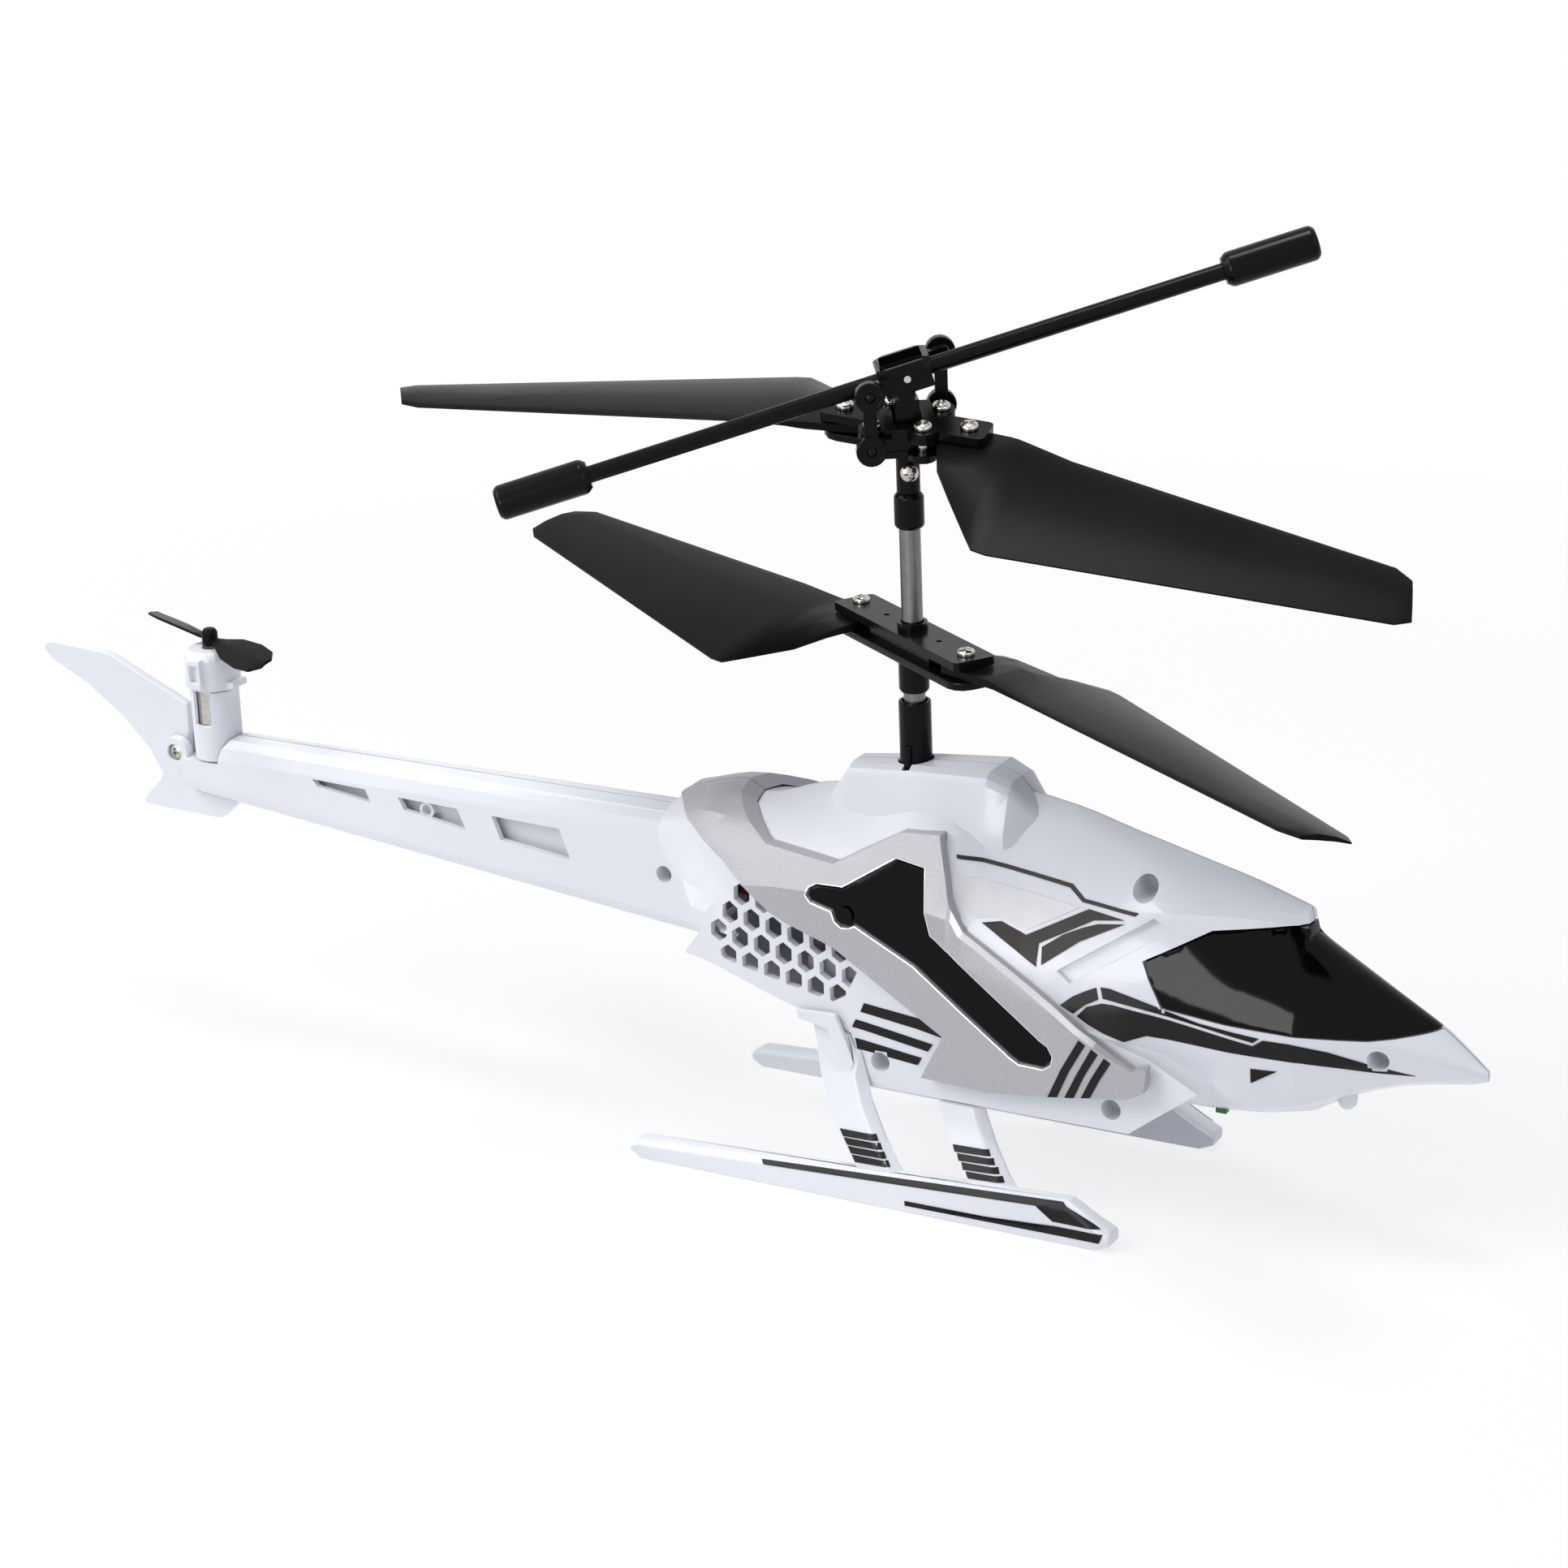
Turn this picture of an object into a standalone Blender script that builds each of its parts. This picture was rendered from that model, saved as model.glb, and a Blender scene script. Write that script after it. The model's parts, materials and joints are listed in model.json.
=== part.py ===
"""Coaxial remote control helicopter with a flybar rotor head, grilles and skids.

Sizes are in millimetres and degrees; meshes are written in metres. X runs from tail to nose, +Y is
the left side and Z is up. The rotor mast stands at X = 0 and the skids rest on Z = 0. The airframe
empty then moves the model along X, so that its origin lies under the middle of its length.
"""
import math
from collections import namedtuple
from functools import lru_cache

import bmesh
import bpy
from mathutils import Matrix, Vector

MM = 0.001
WELD = 0.0005

# Overall length
NOSE_X = 84.9
TAIL_X = -155.1

# Fits
SEAT_GAP = 0.3
FIT_GAP = 0.12
RUN_GAP = 0.25
SEAM_HALF_GAP = 0.15

# Fuselage
BODY_HALF_WIDTH = 13.3
KEEL_HALF_WIDTH = BODY_HALF_WIDTH * 0.98
KEEL_Z = 15.3
BODY_WALL = 1.2
BROW_X = 59.6
SLICE_STEP = 3.8
PANEL_THICKNESS = 1.5
INSERT_RISE = 0.35
INSERT_BOSS_RADIUS = 1.3
INSERT_BOSS_RISE = 0.4
RECESS_DEPTH = 0.8
HUMP_BASE_Z = 46.0
SIDE_SCREW_HOLE_RADIUS = 1.5
ROOF_SCREW_HOLE_RADIUS = 1.75

# Honeycomb grille
HEX_ORIGIN = (-23.75, 38.4)
HEX_STEP = (3.53, -0.63)
HEX_RISE = (2.03, 3.06)
HEX_WIDTH = 2.6
HEX_HEIGHT = 3.45
HEX_ROWS = 4
HEX_COLUMNS = 9

# Tail boom
BOOM_TOP_Z = 48.2
BOOM_REAR_X = -127.5
BOOM_FRONT_X = -28.0
BOOM_REAR_HALF_WIDTH = 3.4
BOOM_FRONT_HALF_WIDTH = 5.4
BOOM_REAR_BOTTOM_Z = 38.4
BOOM_FRONT_BOTTOM_Z = 28.8
BOOM_WALL = 1.0

# Tail
TAIL_MOTOR_X = -122.5
TAIL_SEAT_Z = 44.4
TAIL_TUBE_RADIUS = 3.8
TAIL_TUBE_HEIGHT = 11.2
TAIL_MOTOR_RADIUS = 3.0
TAIL_CAP_RADIUS = 4.3
TAIL_CAP_HEIGHT = 6.4
TAIL_CAP_ROOF = 1.2
TAIL_SHAFT_RADIUS = 0.5
TAIL_ROTOR_RADIUS = 17.3
TAIL_ROTOR_LIFT = 1.3
TAIL_ROTOR_AZIMUTH = -24.6
TAIL_ROTOR_PITCH = 24.0
FIN_THICKNESS = 1.6
FIN_BOSS = (-129.4, 44.6)
FIN_BOSS_RADIUS = 2.4

# Skids and struts
SKID_HALF_TRACK = 18.0
SKID_WIDTH = 3.4
SKID_REAR_X = -38.4
SKID_FRONT_X = 38.0
SKID_REAR_HEIGHT = 3.2
SKID_FRONT_HEIGHT = 6.6
STRUT_WIDTH = 5.7
STRUT_THICKNESS = 2.4
STRUT_KEEL_GAP = 1.4
STRUT_ROOT_Y = BODY_HALF_WIDTH
STRUT_FOOT_Y = 18.9

# Mast
SHAFT_RADIUS = 1.0
SHAFT_BOTTOM_Z = 31.0
SHAFT_TOP_Z = 104.0
TUBE_WALL = 0.3
TUBE_BOTTOM_Z = 40.2
SPACER_RADIUS = 1.5
SLEEVE_RADIUS = 2.3
SLEEVE_TOP_Z = 69.3
COLLAR_RADIUS = 2.1
COLLAR_BOTTOM_Z = 94.4
COLLAR_TOP_Z = 99.4

# Lower rotor
LOWER_BLADE_Z = 77.8
LOWER_PIVOT_RADIUS = 14.7
LOWER_HUB_AZIMUTH = -33.2
LOWER_HUB_BOTTOM_Z = 70.7
LOWER_SLEEVE_RADIUS = 2.15
LOWER_BAR_HALF_WIDTH = 3.2
LOWER_BAR_OVERHANG = 2.6

# Upper rotor head
GRIP_Z = 108.6
GRIP_TILT = 13.5
FLYBAR_AZIMUTH = 32.63
FLYBAR_Z = 116.1
FLYBAR_TILT = 15.13
UPPER_PIVOT_RADIUS = 9.06
UPPER_HUB_AZIMUTH = 6.6
HUB_BOSS_RADIUS = 1.65
COLUMN_HALF_WIDTH = 1.7
TONGUE_HALF_WIDTH = 1.2
GRIP_ARM_HALF_WIDTH = 2.6
GRIP_BASE_HALF_WIDTH = 2.7
GRIP_RING_HALF_LENGTH = 3.6
GRIP_RING_HALF_WIDTH = 4.2
GRIP_SCREW_SPOT = (1.8, -4.1)
GRIP_SCREW_LOBE = 2.1
GRIP_EAR_SPOT = (5.0, 2.2)
GRIP_EAR_RADIUS = 1.9
PIN_RADIUS = 0.5
FLYBAR_ROD_RADIUS = 1.2
FLYBAR_HALF_LENGTH = 58.4
WEIGHT_RADIUS = 2.45
WEIGHT_LENGTH = 13.2
FRAME_HALF_LENGTH = 3.8
FRAME_HALF_WIDTH = 4.3
FRAME_BLOCK_HALF_WIDTH = 3.4
BALL_REACH = 5.6
BALL_RADIUS = 1.0
STUD_RADIUS = 0.7
LINK_EYE_RADIUS = 2.1
LINK_EYE_BORE = 1.45
LINK_THICKNESS = 1.7

# Blades
BLADE_TAB_THICKNESS = 1.2
BLADE_THICKNESS = 0.9
BLADE_CAMBER = 1.1
PLATE_THICKNESS = 1.2
BLADE_FLAT_RADIUS = 5.4
BLADE_TWIST_RADIUS = 12.0
BLADE_LEADING_ROOT = (-3.0, -2.3)
BLADE_TRAILING_ROOT = (10.4, 19.4)
BLADE_ROOT_EDGE = ((-2.8, 4.4), (-0.8, 8.2), (2.7, 11.6), (7.9, 17.0), (9.9, 19.0))
BLADE_LEADING_TIP = (62.75, -5.5)
BLADE_TRAILING_TIP = (66.6, 3.9)
BLADE_SCREW_RADIUS = 0.75
SCREW_HEAD_RADIUS = 1.25
SCREW_HEAD_HEIGHT = 0.9

# Drive
GEAR_TEETH = 40
PINION_TEETH = 8
GEAR_MODULE = 0.5
GEAR_THICKNESS = 2.0
UPPER_GEAR_Z = 36.6
LOWER_GEAR_Z = 40.8
MOTOR_RADIUS = 4.0
MOTOR_BOTTOM_Z = 17.4
MOTOR_HALF_SPREAD = 6.0
MOTOR_SHAFT_RADIUS = 0.5
FRAME_FLOOR_Z = 30.2
FRAME_FLOOR_THICKNESS = 2.8
FRAME_ROOF_Z = 44.6
FRAME_ROOF_THICKNESS = 1.5

# Electrics
BATTERY_SIZE = (21.0, 8.0, 7.6)
BATTERY_FRONT_X = 40.5
BOARD_THICKNESS = 1.2
BOARD_Z = 21.4
LED_X = 64.9
LED_RADIUS = 1.4
LED_TIP_Z = 18.7
SWITCH_X = 25.0
SWITCH_TRAVEL = 2.0
WIRE_RADIUS = 0.5

SIDES = {"right": -1, "left": 1}

# Body stations from tail to nose: X, then points from the ridge round to the bottom centre. A point
# is its half width, as a share of BODY_HALF_WIDTH, and its Z.
STATIONS = (
    (-41.0, ((0, 48.8), (0.20, 48.5), (0.35, 47.7), (0.41, 46.8), (0.47, 45.6),
             (0.52, 43.4), (0.54, 40.5), (0.98, 35.0), (0.98, 31.0), (0, 30.6))),
    (-34.0, ((0, 50.6), (0.23, 50.3), (0.45, 48.9), (0.51, 48.1), (0.57, 46.5),
             (0.64, 43.4), (0.65, 40.0), (0.98, 36.0), (0.98, 31.0), (0, 30.6))),
    (-29.0, ((0, 51.9), (0.26, 51.5), (0.55, 49.9), (0.63, 48.6), (0.72, 47.0),
             (0.83, 43.2), (0.86, 40.0), (0.98, 36.6), (0.98, 30.4), (0, 30.0))),
    (-23.0, ((0, 52.4), (0.29, 51.8), (0.63, 49.6), (0.72, 48.4), (0.83, 46.8),
             (0.98, 43.0), (1, 40.0), (1, 35.0), (1, 28.6), (0, 28.2))),
    (-15.0, ((0, 55.0), (0.30, 52.7), (0.68, 49.4), (0.77, 48.4), (0.865, 47.2),
             (1, 43.8), (1, 38.0), (1, 32.0), (1, 25.9), (0, 25.5))),
    (-4.6, ((0, 56.5), (0.34, 53.2), (0.68, 49.9), (0.77, 48.9), (0.86, 47.7),
            (1, 44.0), (1, 38.0), (1, 30.0), (1, 23.0), (0, 22.6))),
    (-2.8, ((0, 56.7), (0.34, 53.6), (0.68, 50.4), (0.75, 49.4), (0.84, 48.2),
            (1, 44.0), (1, 38.0), (1, 30.0), (0.98, KEEL_Z), (0, KEEL_Z))),
    (2.5, ((0, 57.3), (0.34, 55.2), (0.57, 53.7), (0.63, 53.2), (0.69, 52.2),
           (1, 44.0), (1, 38.0), (1, 30.0), (0.98, KEEL_Z), (0, KEEL_Z))),
    (9.0, ((0, 58.0), (0.33, 55.4), (0.56, 53.9), (0.62, 53.4), (0.68, 52.4),
           (1, 43.6), (1, 38.0), (1, 30.0), (0.98, KEEL_Z), (0, KEEL_Z))),
    (14.0, ((0, 58.6), (0.23, 56.0), (0.50, 51.8), (0.60, 49.9), (0.72, 47.6),
            (0.955, 42.0), (1, 37.0), (1, 30.0), (0.98, KEEL_Z), (0, KEEL_Z))),
    (25.0, ((0, 57.2), (0.19, 54.6), (0.47, 49.2), (0.57, 46.8), (0.70, 43.6),
            (0.90, 37.8), (0.98, 32.4), (0.98, 28.0), (0.98, KEEL_Z), (0, KEEL_Z))),
    (34.0, ((0, 54.8), (0.18, 52.6), (0.44, 47.8), (0.53, 45.6), (0.65, 42.4),
            (0.83, 36.6), (0.895, 32.2), (0.93, 28.0), (0.98, KEEL_Z), (0, KEEL_Z))),
    (38.0, ((0, 53.8), (0.17, 51.8), (0.44, 47.4), (0.48, 45.6), (0.62, 42.4),
            (0.78, 37.0), (0.83, 33.0), (0.84, 28.6), (0.87, 18.0), (0, 15.4))),
    (43.0, ((0, 52.5), (0.165, 50.8), (0.42, 47.1), (0.40, 45.8), (0.57, 42.0),
            (0.72, 37.4), (0.77, 33.5), (0.76, 28.6), (0.62, 20.2), (0, 15.2))),
    (52.0, ((0, 50.2), (0.135, 49.2), (0.27, 47.3), (0.25, 45.8), (0.465, 41.0),
            (0.67, 36.7), (0.735, 33.0), (0.72, 28.0), (0.555, 19.6), (0, 15.9))),
    (BROW_X, ((0, 47.7), (0.05, 47.4), (0.10, 46.9), (0.11, 44.9), (0.355, 40.3),
              (0.58, 36.0), (0.67, 32.6), (0.65, 28.0), (0.465, 20.6), (0, 17.5))),
    (60.2, ((0, 43.9), (0.06, 43.85), (0.12, 43.6), (0.165, 43.2), (0.36, 39.9),
            (0.575, 35.85), (0.665, 32.55), (0.645, 28.0), (0.46, 20.75), (0, 17.7))),
    (66.0, ((0, 40.4), (0.09, 40.2), (0.18, 39.6), (0.24, 38.8), (0.36, 36.9),
            (0.495, 34.4), (0.55, 32.2), (0.525, 28.5), (0.36, 23.0), (0, 21.0))),
    (73.0, ((0, 36.3), (0.07, 36.2), (0.135, 35.7), (0.19, 35.1), (0.27, 34.0),
            (0.36, 32.6), (0.40, 31.1), (0.38, 28.6), (0.255, 25.2), (0, 23.7))),
    (79.0, ((0, 32.8), (0.045, 32.7), (0.09, 32.4), (0.13, 32.0), (0.18, 31.4),
            (0.235, 30.5), (0.255, 29.6), (0.24, 28.2), (0.15, 26.2), (0, 25.0))),
    (83.0, ((0, 29.5), (0.03, 29.4), (0.055, 29.3), (0.075, 29.1), (0.10, 28.8),
            (0.12, 28.4), (0.13, 27.9), (0.12, 27.2), (0.075, 26.3), (0, 25.7))),
    (NOSE_X, ((0, 27.9), (0.015, 27.9), (0.025, 27.8), (0.03, 27.7), (0.04, 27.6),
              (0.045, 27.4), (0.045, 27.1), (0.04, 26.8), (0.025, 26.5), (0, 26.4))),
)
LAST_HOLLOW_X = 79.0
PANEL_FLANK_X = 30.0
PANEL_OUTLINE_FRONT_X = 50.0
WINDOW_STATION_X = 36.0

# Hump stations: X, top Z, half width of the top, half width at the base
HUMP_STATIONS = (
    (-13.4, 53.8, 1.4, 2.4),
    (-9.2, 59.6, 2.4, 4.4),
    (2.0, 60.8, 3.2, 5.6),
    (13.2, 61.6, 4.0, 6.8),
    (16.4, 60.4, 3.4, 6.4),
    (18.6, 57.9, 2.4, 5.0),
    (21.0, 55.6, 1.4, 3.4),
)

# Side view outlines, (X, Z)
REAR_EDGE = ((-39.2, 56.0), (-39.2, 45.6), (-35.9, 41.2), (-31.0, 37.9), (-27.0, 37.4),
             (-31.2, 31.6), (-31.9, 30.4), (-31.9, 20.0))
KEEL_OUTLINE = ((-4.4, 27.5), (-2.9, KEEL_Z), (37.9, KEEL_Z), (48.3, 23.1), (41.0, 27.0), (30.0, 30.0))
GRILLE_OUTLINE = ((-28.4, 34.6), (-25.0, 31.0), (-7.6, 27.3), (-5.4, 28.6), (-3.0, 33.4), (-4.0, 36.0),
                  (-20.0, 44.5), (-23.6, 42.6))
PANEL_OUTLINE = ((-37.3, 58.0), (-37.0, 51.4), (-34.8, 50.6), (-33.0, 49.6), (-29.6, 48.2), (-24.7, 46.2),
                 (-21.2, 44.0), (-16.4, 40.3), (-13.3, 38.9), (-6.2, 36.5), (-2.2, 34.0), (10.7, 25.7),
                 (7.0, 18.9), (17.6, 18.5), (26.7, 19.5), (38.7, 21.4), (41.2, 22.8), (41.7, 26.5),
                 (39.3, 25.6), (28.0, 32.5), (13.7, 41.6), (11.4, 45.7), (8.7, 53.8), (2.9, 53.5),
                 (-6.7, 48.3), (-18.2, 49.2), (-24.3, 52.2), (-27.6, 54.2), (-27.6, 58.0))
INSERT_OUTLINE = ((-9.9, 43.8), (-9.6, 44.6), (-8.7, 45.1), (-4.6, 45.2), (2.8, 49.8), (6.9, 49.2),
                  (8.6, 40.6), (25.2, 27.4), (26.4, 26.7), (27.0, 25.6), (26.8, 24.6), (25.8, 23.9),
                  (22.4, 24.0), (21.2, 24.7), (6.6, 36.0), (-2.7, 40.7), (-3.7, 40.2), (-4.7, 40.1),
                  (-5.5, 40.7), (-6.0, 42.2), (-9.4, 43.1))
WINDOW_OUTLINE = ((39.0, 39.5), (47.4, 43.8), (58.4, 45.0), (60.6, 45.6), (80.0, 36.0), (78.4, 33.3),
                  (70.0, 32.2), (60.8, 32.2), (50.6, 32.8), (42.0, 33.8))
RAIL_SLOT = ((39.2, 45.0), (42.0, 43.5), (28.9, 35.7), (26.9, 37.3))
BOOM_SLOTS = (((-102.4, 44.4), (-92.4, 44.2), (-91.6, 42.1), (-101.4, 43.3)),
              ((-86.4, 43.8), (-75.6, 43.6), (-74.2, 40.3), (-85.4, 41.9)),
              ((-69.4, 43.4), (-57.4, 43.2), (-55.6, 38.4), (-68.0, 39.8)))
FIN_OUTLINE = ((-127.6, 52.2), (-141.6, 58.4), (-143.3, 58.8), (-153.2, 59.4), (-154.6, 58.9), (TAIL_X, 58.0),
               (-153.6, 56.4), (-147.0, 53.2), (-140.7, 48.7), (-135.7, 43.6), (-133.7, 39.9), (-134.1, 38.8),
               (-137.6, 35.2), (-137.4, 34.6), (-136.7, 34.4), (-122.8, 34.0), (-119.6, 36.8), (-119.2, 37.2),
               (-128.0, 38.0), (-128.0, 46.8), (-127.6, 47.8))

# Side screw holes through each shell: (X, Z, radius)
SHELL_HOLES = ((37.3, 48.5, ROOF_SCREW_HOLE_RADIUS), (71.3, 29.2, SIDE_SCREW_HOLE_RADIUS),
               (35.4, 18.5, SIDE_SCREW_HOLE_RADIUS), (-0.3, 19.3, SIDE_SCREW_HOLE_RADIUS))
BOOM_HOLE = (-39.4, 38.9)
INSERT_BOSS = (-4.3, 41.6)

# Rear edge of each strut's outer face, (X, Z) from its seat to its foot inside the skid
REAR_STRUT = ((-11.2, 24.0), (-10.2, 20.5), (-9.3, 17.0), (-7.8, 13.6), (-4.9, 9.2), (-2.3, 5.6), (0.0, 2.5))
FRONT_STRUT = ((8.6, 15.6), (9.3, 13.4), (11.3, 10.4), (14.4, 6.9), (18.4, 2.5))
STRUT_LUG = ((-8.0, 23.4), (-5.3, 23.0), (-3.9, 18.9), (-4.9, 17.1), (-7.6, 22.0))
STRUT_FLANGE = ((-13.2, 25.7), (-6.6, 26.0), (-5.3, 23.0), (-8.0, 23.4), (-12.6, 24.3))

# Red lead from the tail motor, through the boom, to the gearbox frame
WIRE_ROUTE = ((-116.5, 0.0, 43.5), (-112.0, 0.0, 43.6), (-100.0, 0.0, 43.4), (-88.0, 0.0, 43.0),
              (-76.0, 0.0, 42.4), (-64.0, 0.0, 41.6), (-52.0, -0.2, 40.6), (-44.0, -0.6, 39.6),
              (-38.0, -1.2, 38.6), (-33.0, -2.0, 37.9), (-28.0, -2.8, 37.4), (-23.0, -3.4, 37.0),
              (-18.0, -3.8, 36.8), (-14.0, -4.0, 36.8), (-12.6, -4.0, 36.8))

# Rest direction (azimuth) and droop of each blade, and the pitch that both of a rotor's blades share
UPPER_BLADES = {"right": (0.2, 7.9), "left": (193.5, 3.1)}
LOWER_BLADES = {"right": (-18.5, 7.8), "left": (164.6, -2.1)}
UPPER_BLADE_PITCH = 11.1
LOWER_BLADE_PITCH = 13.8

# Frame whose X and Y are the model's X and Z, looking at its right side
SIDE_VIEW = Matrix(((1, 0, 0, 0), (0, 0, -1, 0), (0, 1, 0, 0), (0, 0, 0, 1)))

Carrier = namedtuple("Carrier", "empty pivot")


def clear_scene():
    for obj in list(bpy.data.objects):
        bpy.data.objects.remove(obj, do_unlink=True)


def material(name, colour, roughness, metallic=0.0):
    made = bpy.data.materials.get(name)
    if made is None:
        made = bpy.data.materials.new(name)
        made.use_nodes = True
        shader = made.node_tree.nodes["Principled BSDF"]
        shader.inputs["Base Color"].default_value = (*colour, 1.0)
        shader.inputs["Roughness"].default_value = roughness
        shader.inputs["Metallic"].default_value = metallic
    return made


def white_plastic():
    return material("white_plastic", (0.86, 0.86, 0.9), 0.25)


def black_plastic():
    return material("black_plastic", (0.02, 0.02, 0.022), 0.4)


def gloss_black():
    return material("gloss_black", (0.008, 0.008, 0.009), 0.08)


def silver_paint():
    return material("silver_paint", (0.62, 0.63, 0.64), 0.35, 0.7)


def blade_plastic():
    return material("blade_plastic", (0.03, 0.03, 0.032), 0.5)


def steel():
    return material("steel", (0.6, 0.58, 0.55), 0.25, 1.0)


def gear_plastic():
    return material("gear_plastic", (0.75, 0.74, 0.7), 0.5)


# Points and frames

def rotation(degrees, axis):
    return Matrix.Rotation(math.radians(degrees), 4, axis)


def polar(radius, degrees, z=0.0):
    return Vector((radius * math.cos(math.radians(degrees)), radius * math.sin(math.radians(degrees)), z))


def frame(origin, x_axis, z_axis):
    """Right-handed frame with the given X and Z directions."""
    x = Vector(x_axis).normalized()
    z = Vector(z_axis).normalized()
    y = z.cross(x)
    matrix = Matrix((x, y, z)).transposed().to_4x4()
    matrix.translation = Vector(origin)
    return matrix


def upright(x, y, z=0.0):
    return Matrix.Translation((x, y, z))


def across(x, z):
    """Frame at (X, Z) whose Z axis points to the right side of the model."""
    return Matrix.Translation((x, 0, z)) @ SIDE_VIEW


def along(table, x):
    """Straight-line reading between the (x, value) rows of a table."""
    for (x0, v0), (x1, v1) in zip(table, table[1:]):
        if x <= x1:
            break
    return v0 + (v1 - v0) * (x - x0) / (x1 - x0)


def smooth_step(low, high, value):
    t = min(max((value - low) / (high - low), 0.0), 1.0)
    return t * t * (3 - 2 * t)


def offset_line(points, distance, closed=False):
    """Move a clockwise outline, or a line from ridge to keel, outwards by a distance."""
    count = len(points)
    moved = []
    for i, point in enumerate(points):
        here = Vector(point)
        normals = []
        for j, k in ((i - 1, i), (i, i + 1)):
            if closed or (j >= 0 and k < count):
                step = (Vector(points[k % count]) - Vector(points[j % count])).normalized()
                normals.append(Vector((-step.y, step.x)))
        if len(normals) == 1:
            rise = math.copysign(distance, distance * normals[0].y) / max(abs(normals[0].y), 0.5)
            moved.append((here.x, here.y + rise))
            continue
        mitre = (normals[0] + normals[1]).normalized()
        moved.append(tuple(here + mitre * distance / max(mitre.dot(normals[0]), 0.5)))
    return moved


def skin_line(points, offset):
    """Half section moved outwards, or inwards by a negative offset without folding over itself."""
    line = offset_line(points, offset)
    if offset >= 0:
        return line
    line = [(max(w, 0.4 * outer), z) for (w, z), (outer, _) in zip(line, points)]
    for i in range(len(line) - 2, -1, -1):
        line[i] = (line[i][0], max(line[i][1], line[i + 1][1]))
    return line


def clockwise(outline):
    area = sum(a[0] * b[1] - b[0] * a[1] for a, b in zip(outline, outline[1:] + outline[:1]))
    return outline if area < 0 else outline[::-1]


def grown(outline, distance):
    """Closed outline moved outwards by a distance, or inwards by a negative one."""
    return offset_line(clockwise(tuple(outline)), distance, closed=True)


def rounded_bar(start, end, half_width, corner, steps=3):
    """Outline of a straight bar with rounded corners, between two points."""
    start = Vector(start)
    end = Vector(end)
    run = (end - start).normalized()
    side = Vector((-run.y, run.x))
    outline = []
    for point, way, turn in ((end, run, side), (end, run, -side), (start, -run, -side), (start, -run, side)):
        centre = point + turn * (half_width - corner) - way * corner
        flip = way.x * turn.y - way.y * turn.x
        first, second = (turn, way) if flip > 0 else (way, turn)
        for i in range(steps + 1):
            angle = math.pi / 2 * i / steps
            outline.append(tuple(centre + (first * math.cos(angle) + second * math.sin(angle)) * corner))
    return outline


# Solids

def loft(rings):
    """Closed solid through rings of equal size."""
    count = len(rings[0])
    points = [point for ring in rings for point in ring]
    last = len(points) - count
    faces = [tuple(range(count)), tuple(range(last, last + count))]
    for first in range(0, last, count):
        for i in range(count):
            j = (i + 1) % count
            faces.append((first + i, first + j, first + count + j, first + count + i))
    return points, faces


def moved(shape, matrix):
    points, faces = shape
    return [tuple(matrix @ Vector(point)) for point in points], faces


def prism(outline, low, high, matrix=Matrix()):
    """Outline in the frame's XY plane, extruded along its Z axis."""
    return moved(loft([[(x, y, z) for x, y in outline] for z in (low, high)]), matrix)


def block(x, y, z, matrix=Matrix()):
    outline = ((x[0], y[0]), (x[1], y[0]), (x[1], y[1]), (x[0], y[1]))
    return prism(outline, z[0], z[1], matrix)


def turned(profile, segments, matrix=Matrix(), ring=False):
    """Solid turned about the frame's Z axis from (radius, height) points; a ring has a closed profile."""
    points = []
    rows = []
    for radius, height in profile:
        sides = segments if radius > 0 else 1
        rows.append([len(points) + i for i in range(sides)])
        for i in range(sides):
            angle = 2 * math.pi * i / segments
            points.append((radius * math.cos(angle), radius * math.sin(angle), height))
    pairs = list(zip(rows, rows[1:]))
    if ring:
        pairs.append((rows[-1], rows[0]))
    faces = []
    for low, high in pairs:
        for i in range(segments):
            j = (i + 1) % segments
            corners = [low[i % len(low)], low[j % len(low)], high[j % len(high)], high[i % len(high)]]
            faces.append(tuple(dict.fromkeys(corners)))
    return moved((points, [face for face in faces if len(face) > 2]), matrix)


def rod(radius, low, high, segments, matrix=Matrix()):
    return turned(((0, low), (radius, low), (radius, high), (0, high)), segments, matrix)


def tube(inner, outer, low, high, segments, matrix=Matrix()):
    profile = ((inner, low), (outer, low), (outer, high), (inner, high))
    return turned(profile, segments, matrix, ring=True)


def ball(radius, height, segments, matrix=Matrix()):
    steps = segments // 2
    profile = []
    for i in range(steps + 1):
        angle = math.pi * i / steps
        profile.append((radius * math.sin(angle) if 0 < i < steps else 0, height - radius * math.cos(angle)))
    return turned(profile, segments, matrix)


def gear_outline(teeth, backlash):
    """Straight-flanked gear with a tooth on +X."""
    pitch_radius = GEAR_MODULE * teeth / 2
    tip = pitch_radius + 0.8 * GEAR_MODULE
    root = pitch_radius - 1.1 * GEAR_MODULE
    step = 2 * math.pi / teeth
    outline = []
    for i in range(teeth):
        for radius, share in ((root, -0.34), (tip, -0.11), (tip, 0.11), (root, 0.34)):
            angle = step * (i + share * backlash)
            outline.append((radius * math.cos(angle), radius * math.sin(angle)))
    return outline


def make(name, shape):
    """Mesh object, still in millimetres, with its faces pointing out."""
    points, faces = shape
    mesh = bpy.data.meshes.new(name)
    mesh.from_pydata(points, [], faces)
    work = bmesh.new()
    work.from_mesh(mesh)
    bmesh.ops.triangulate(work, faces=work.faces)
    bmesh.ops.recalc_face_normals(work, faces=work.faces)
    work.to_mesh(mesh)
    work.free()
    obj = bpy.data.objects.new(name, mesh)
    bpy.context.collection.objects.link(obj)
    return obj


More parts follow.
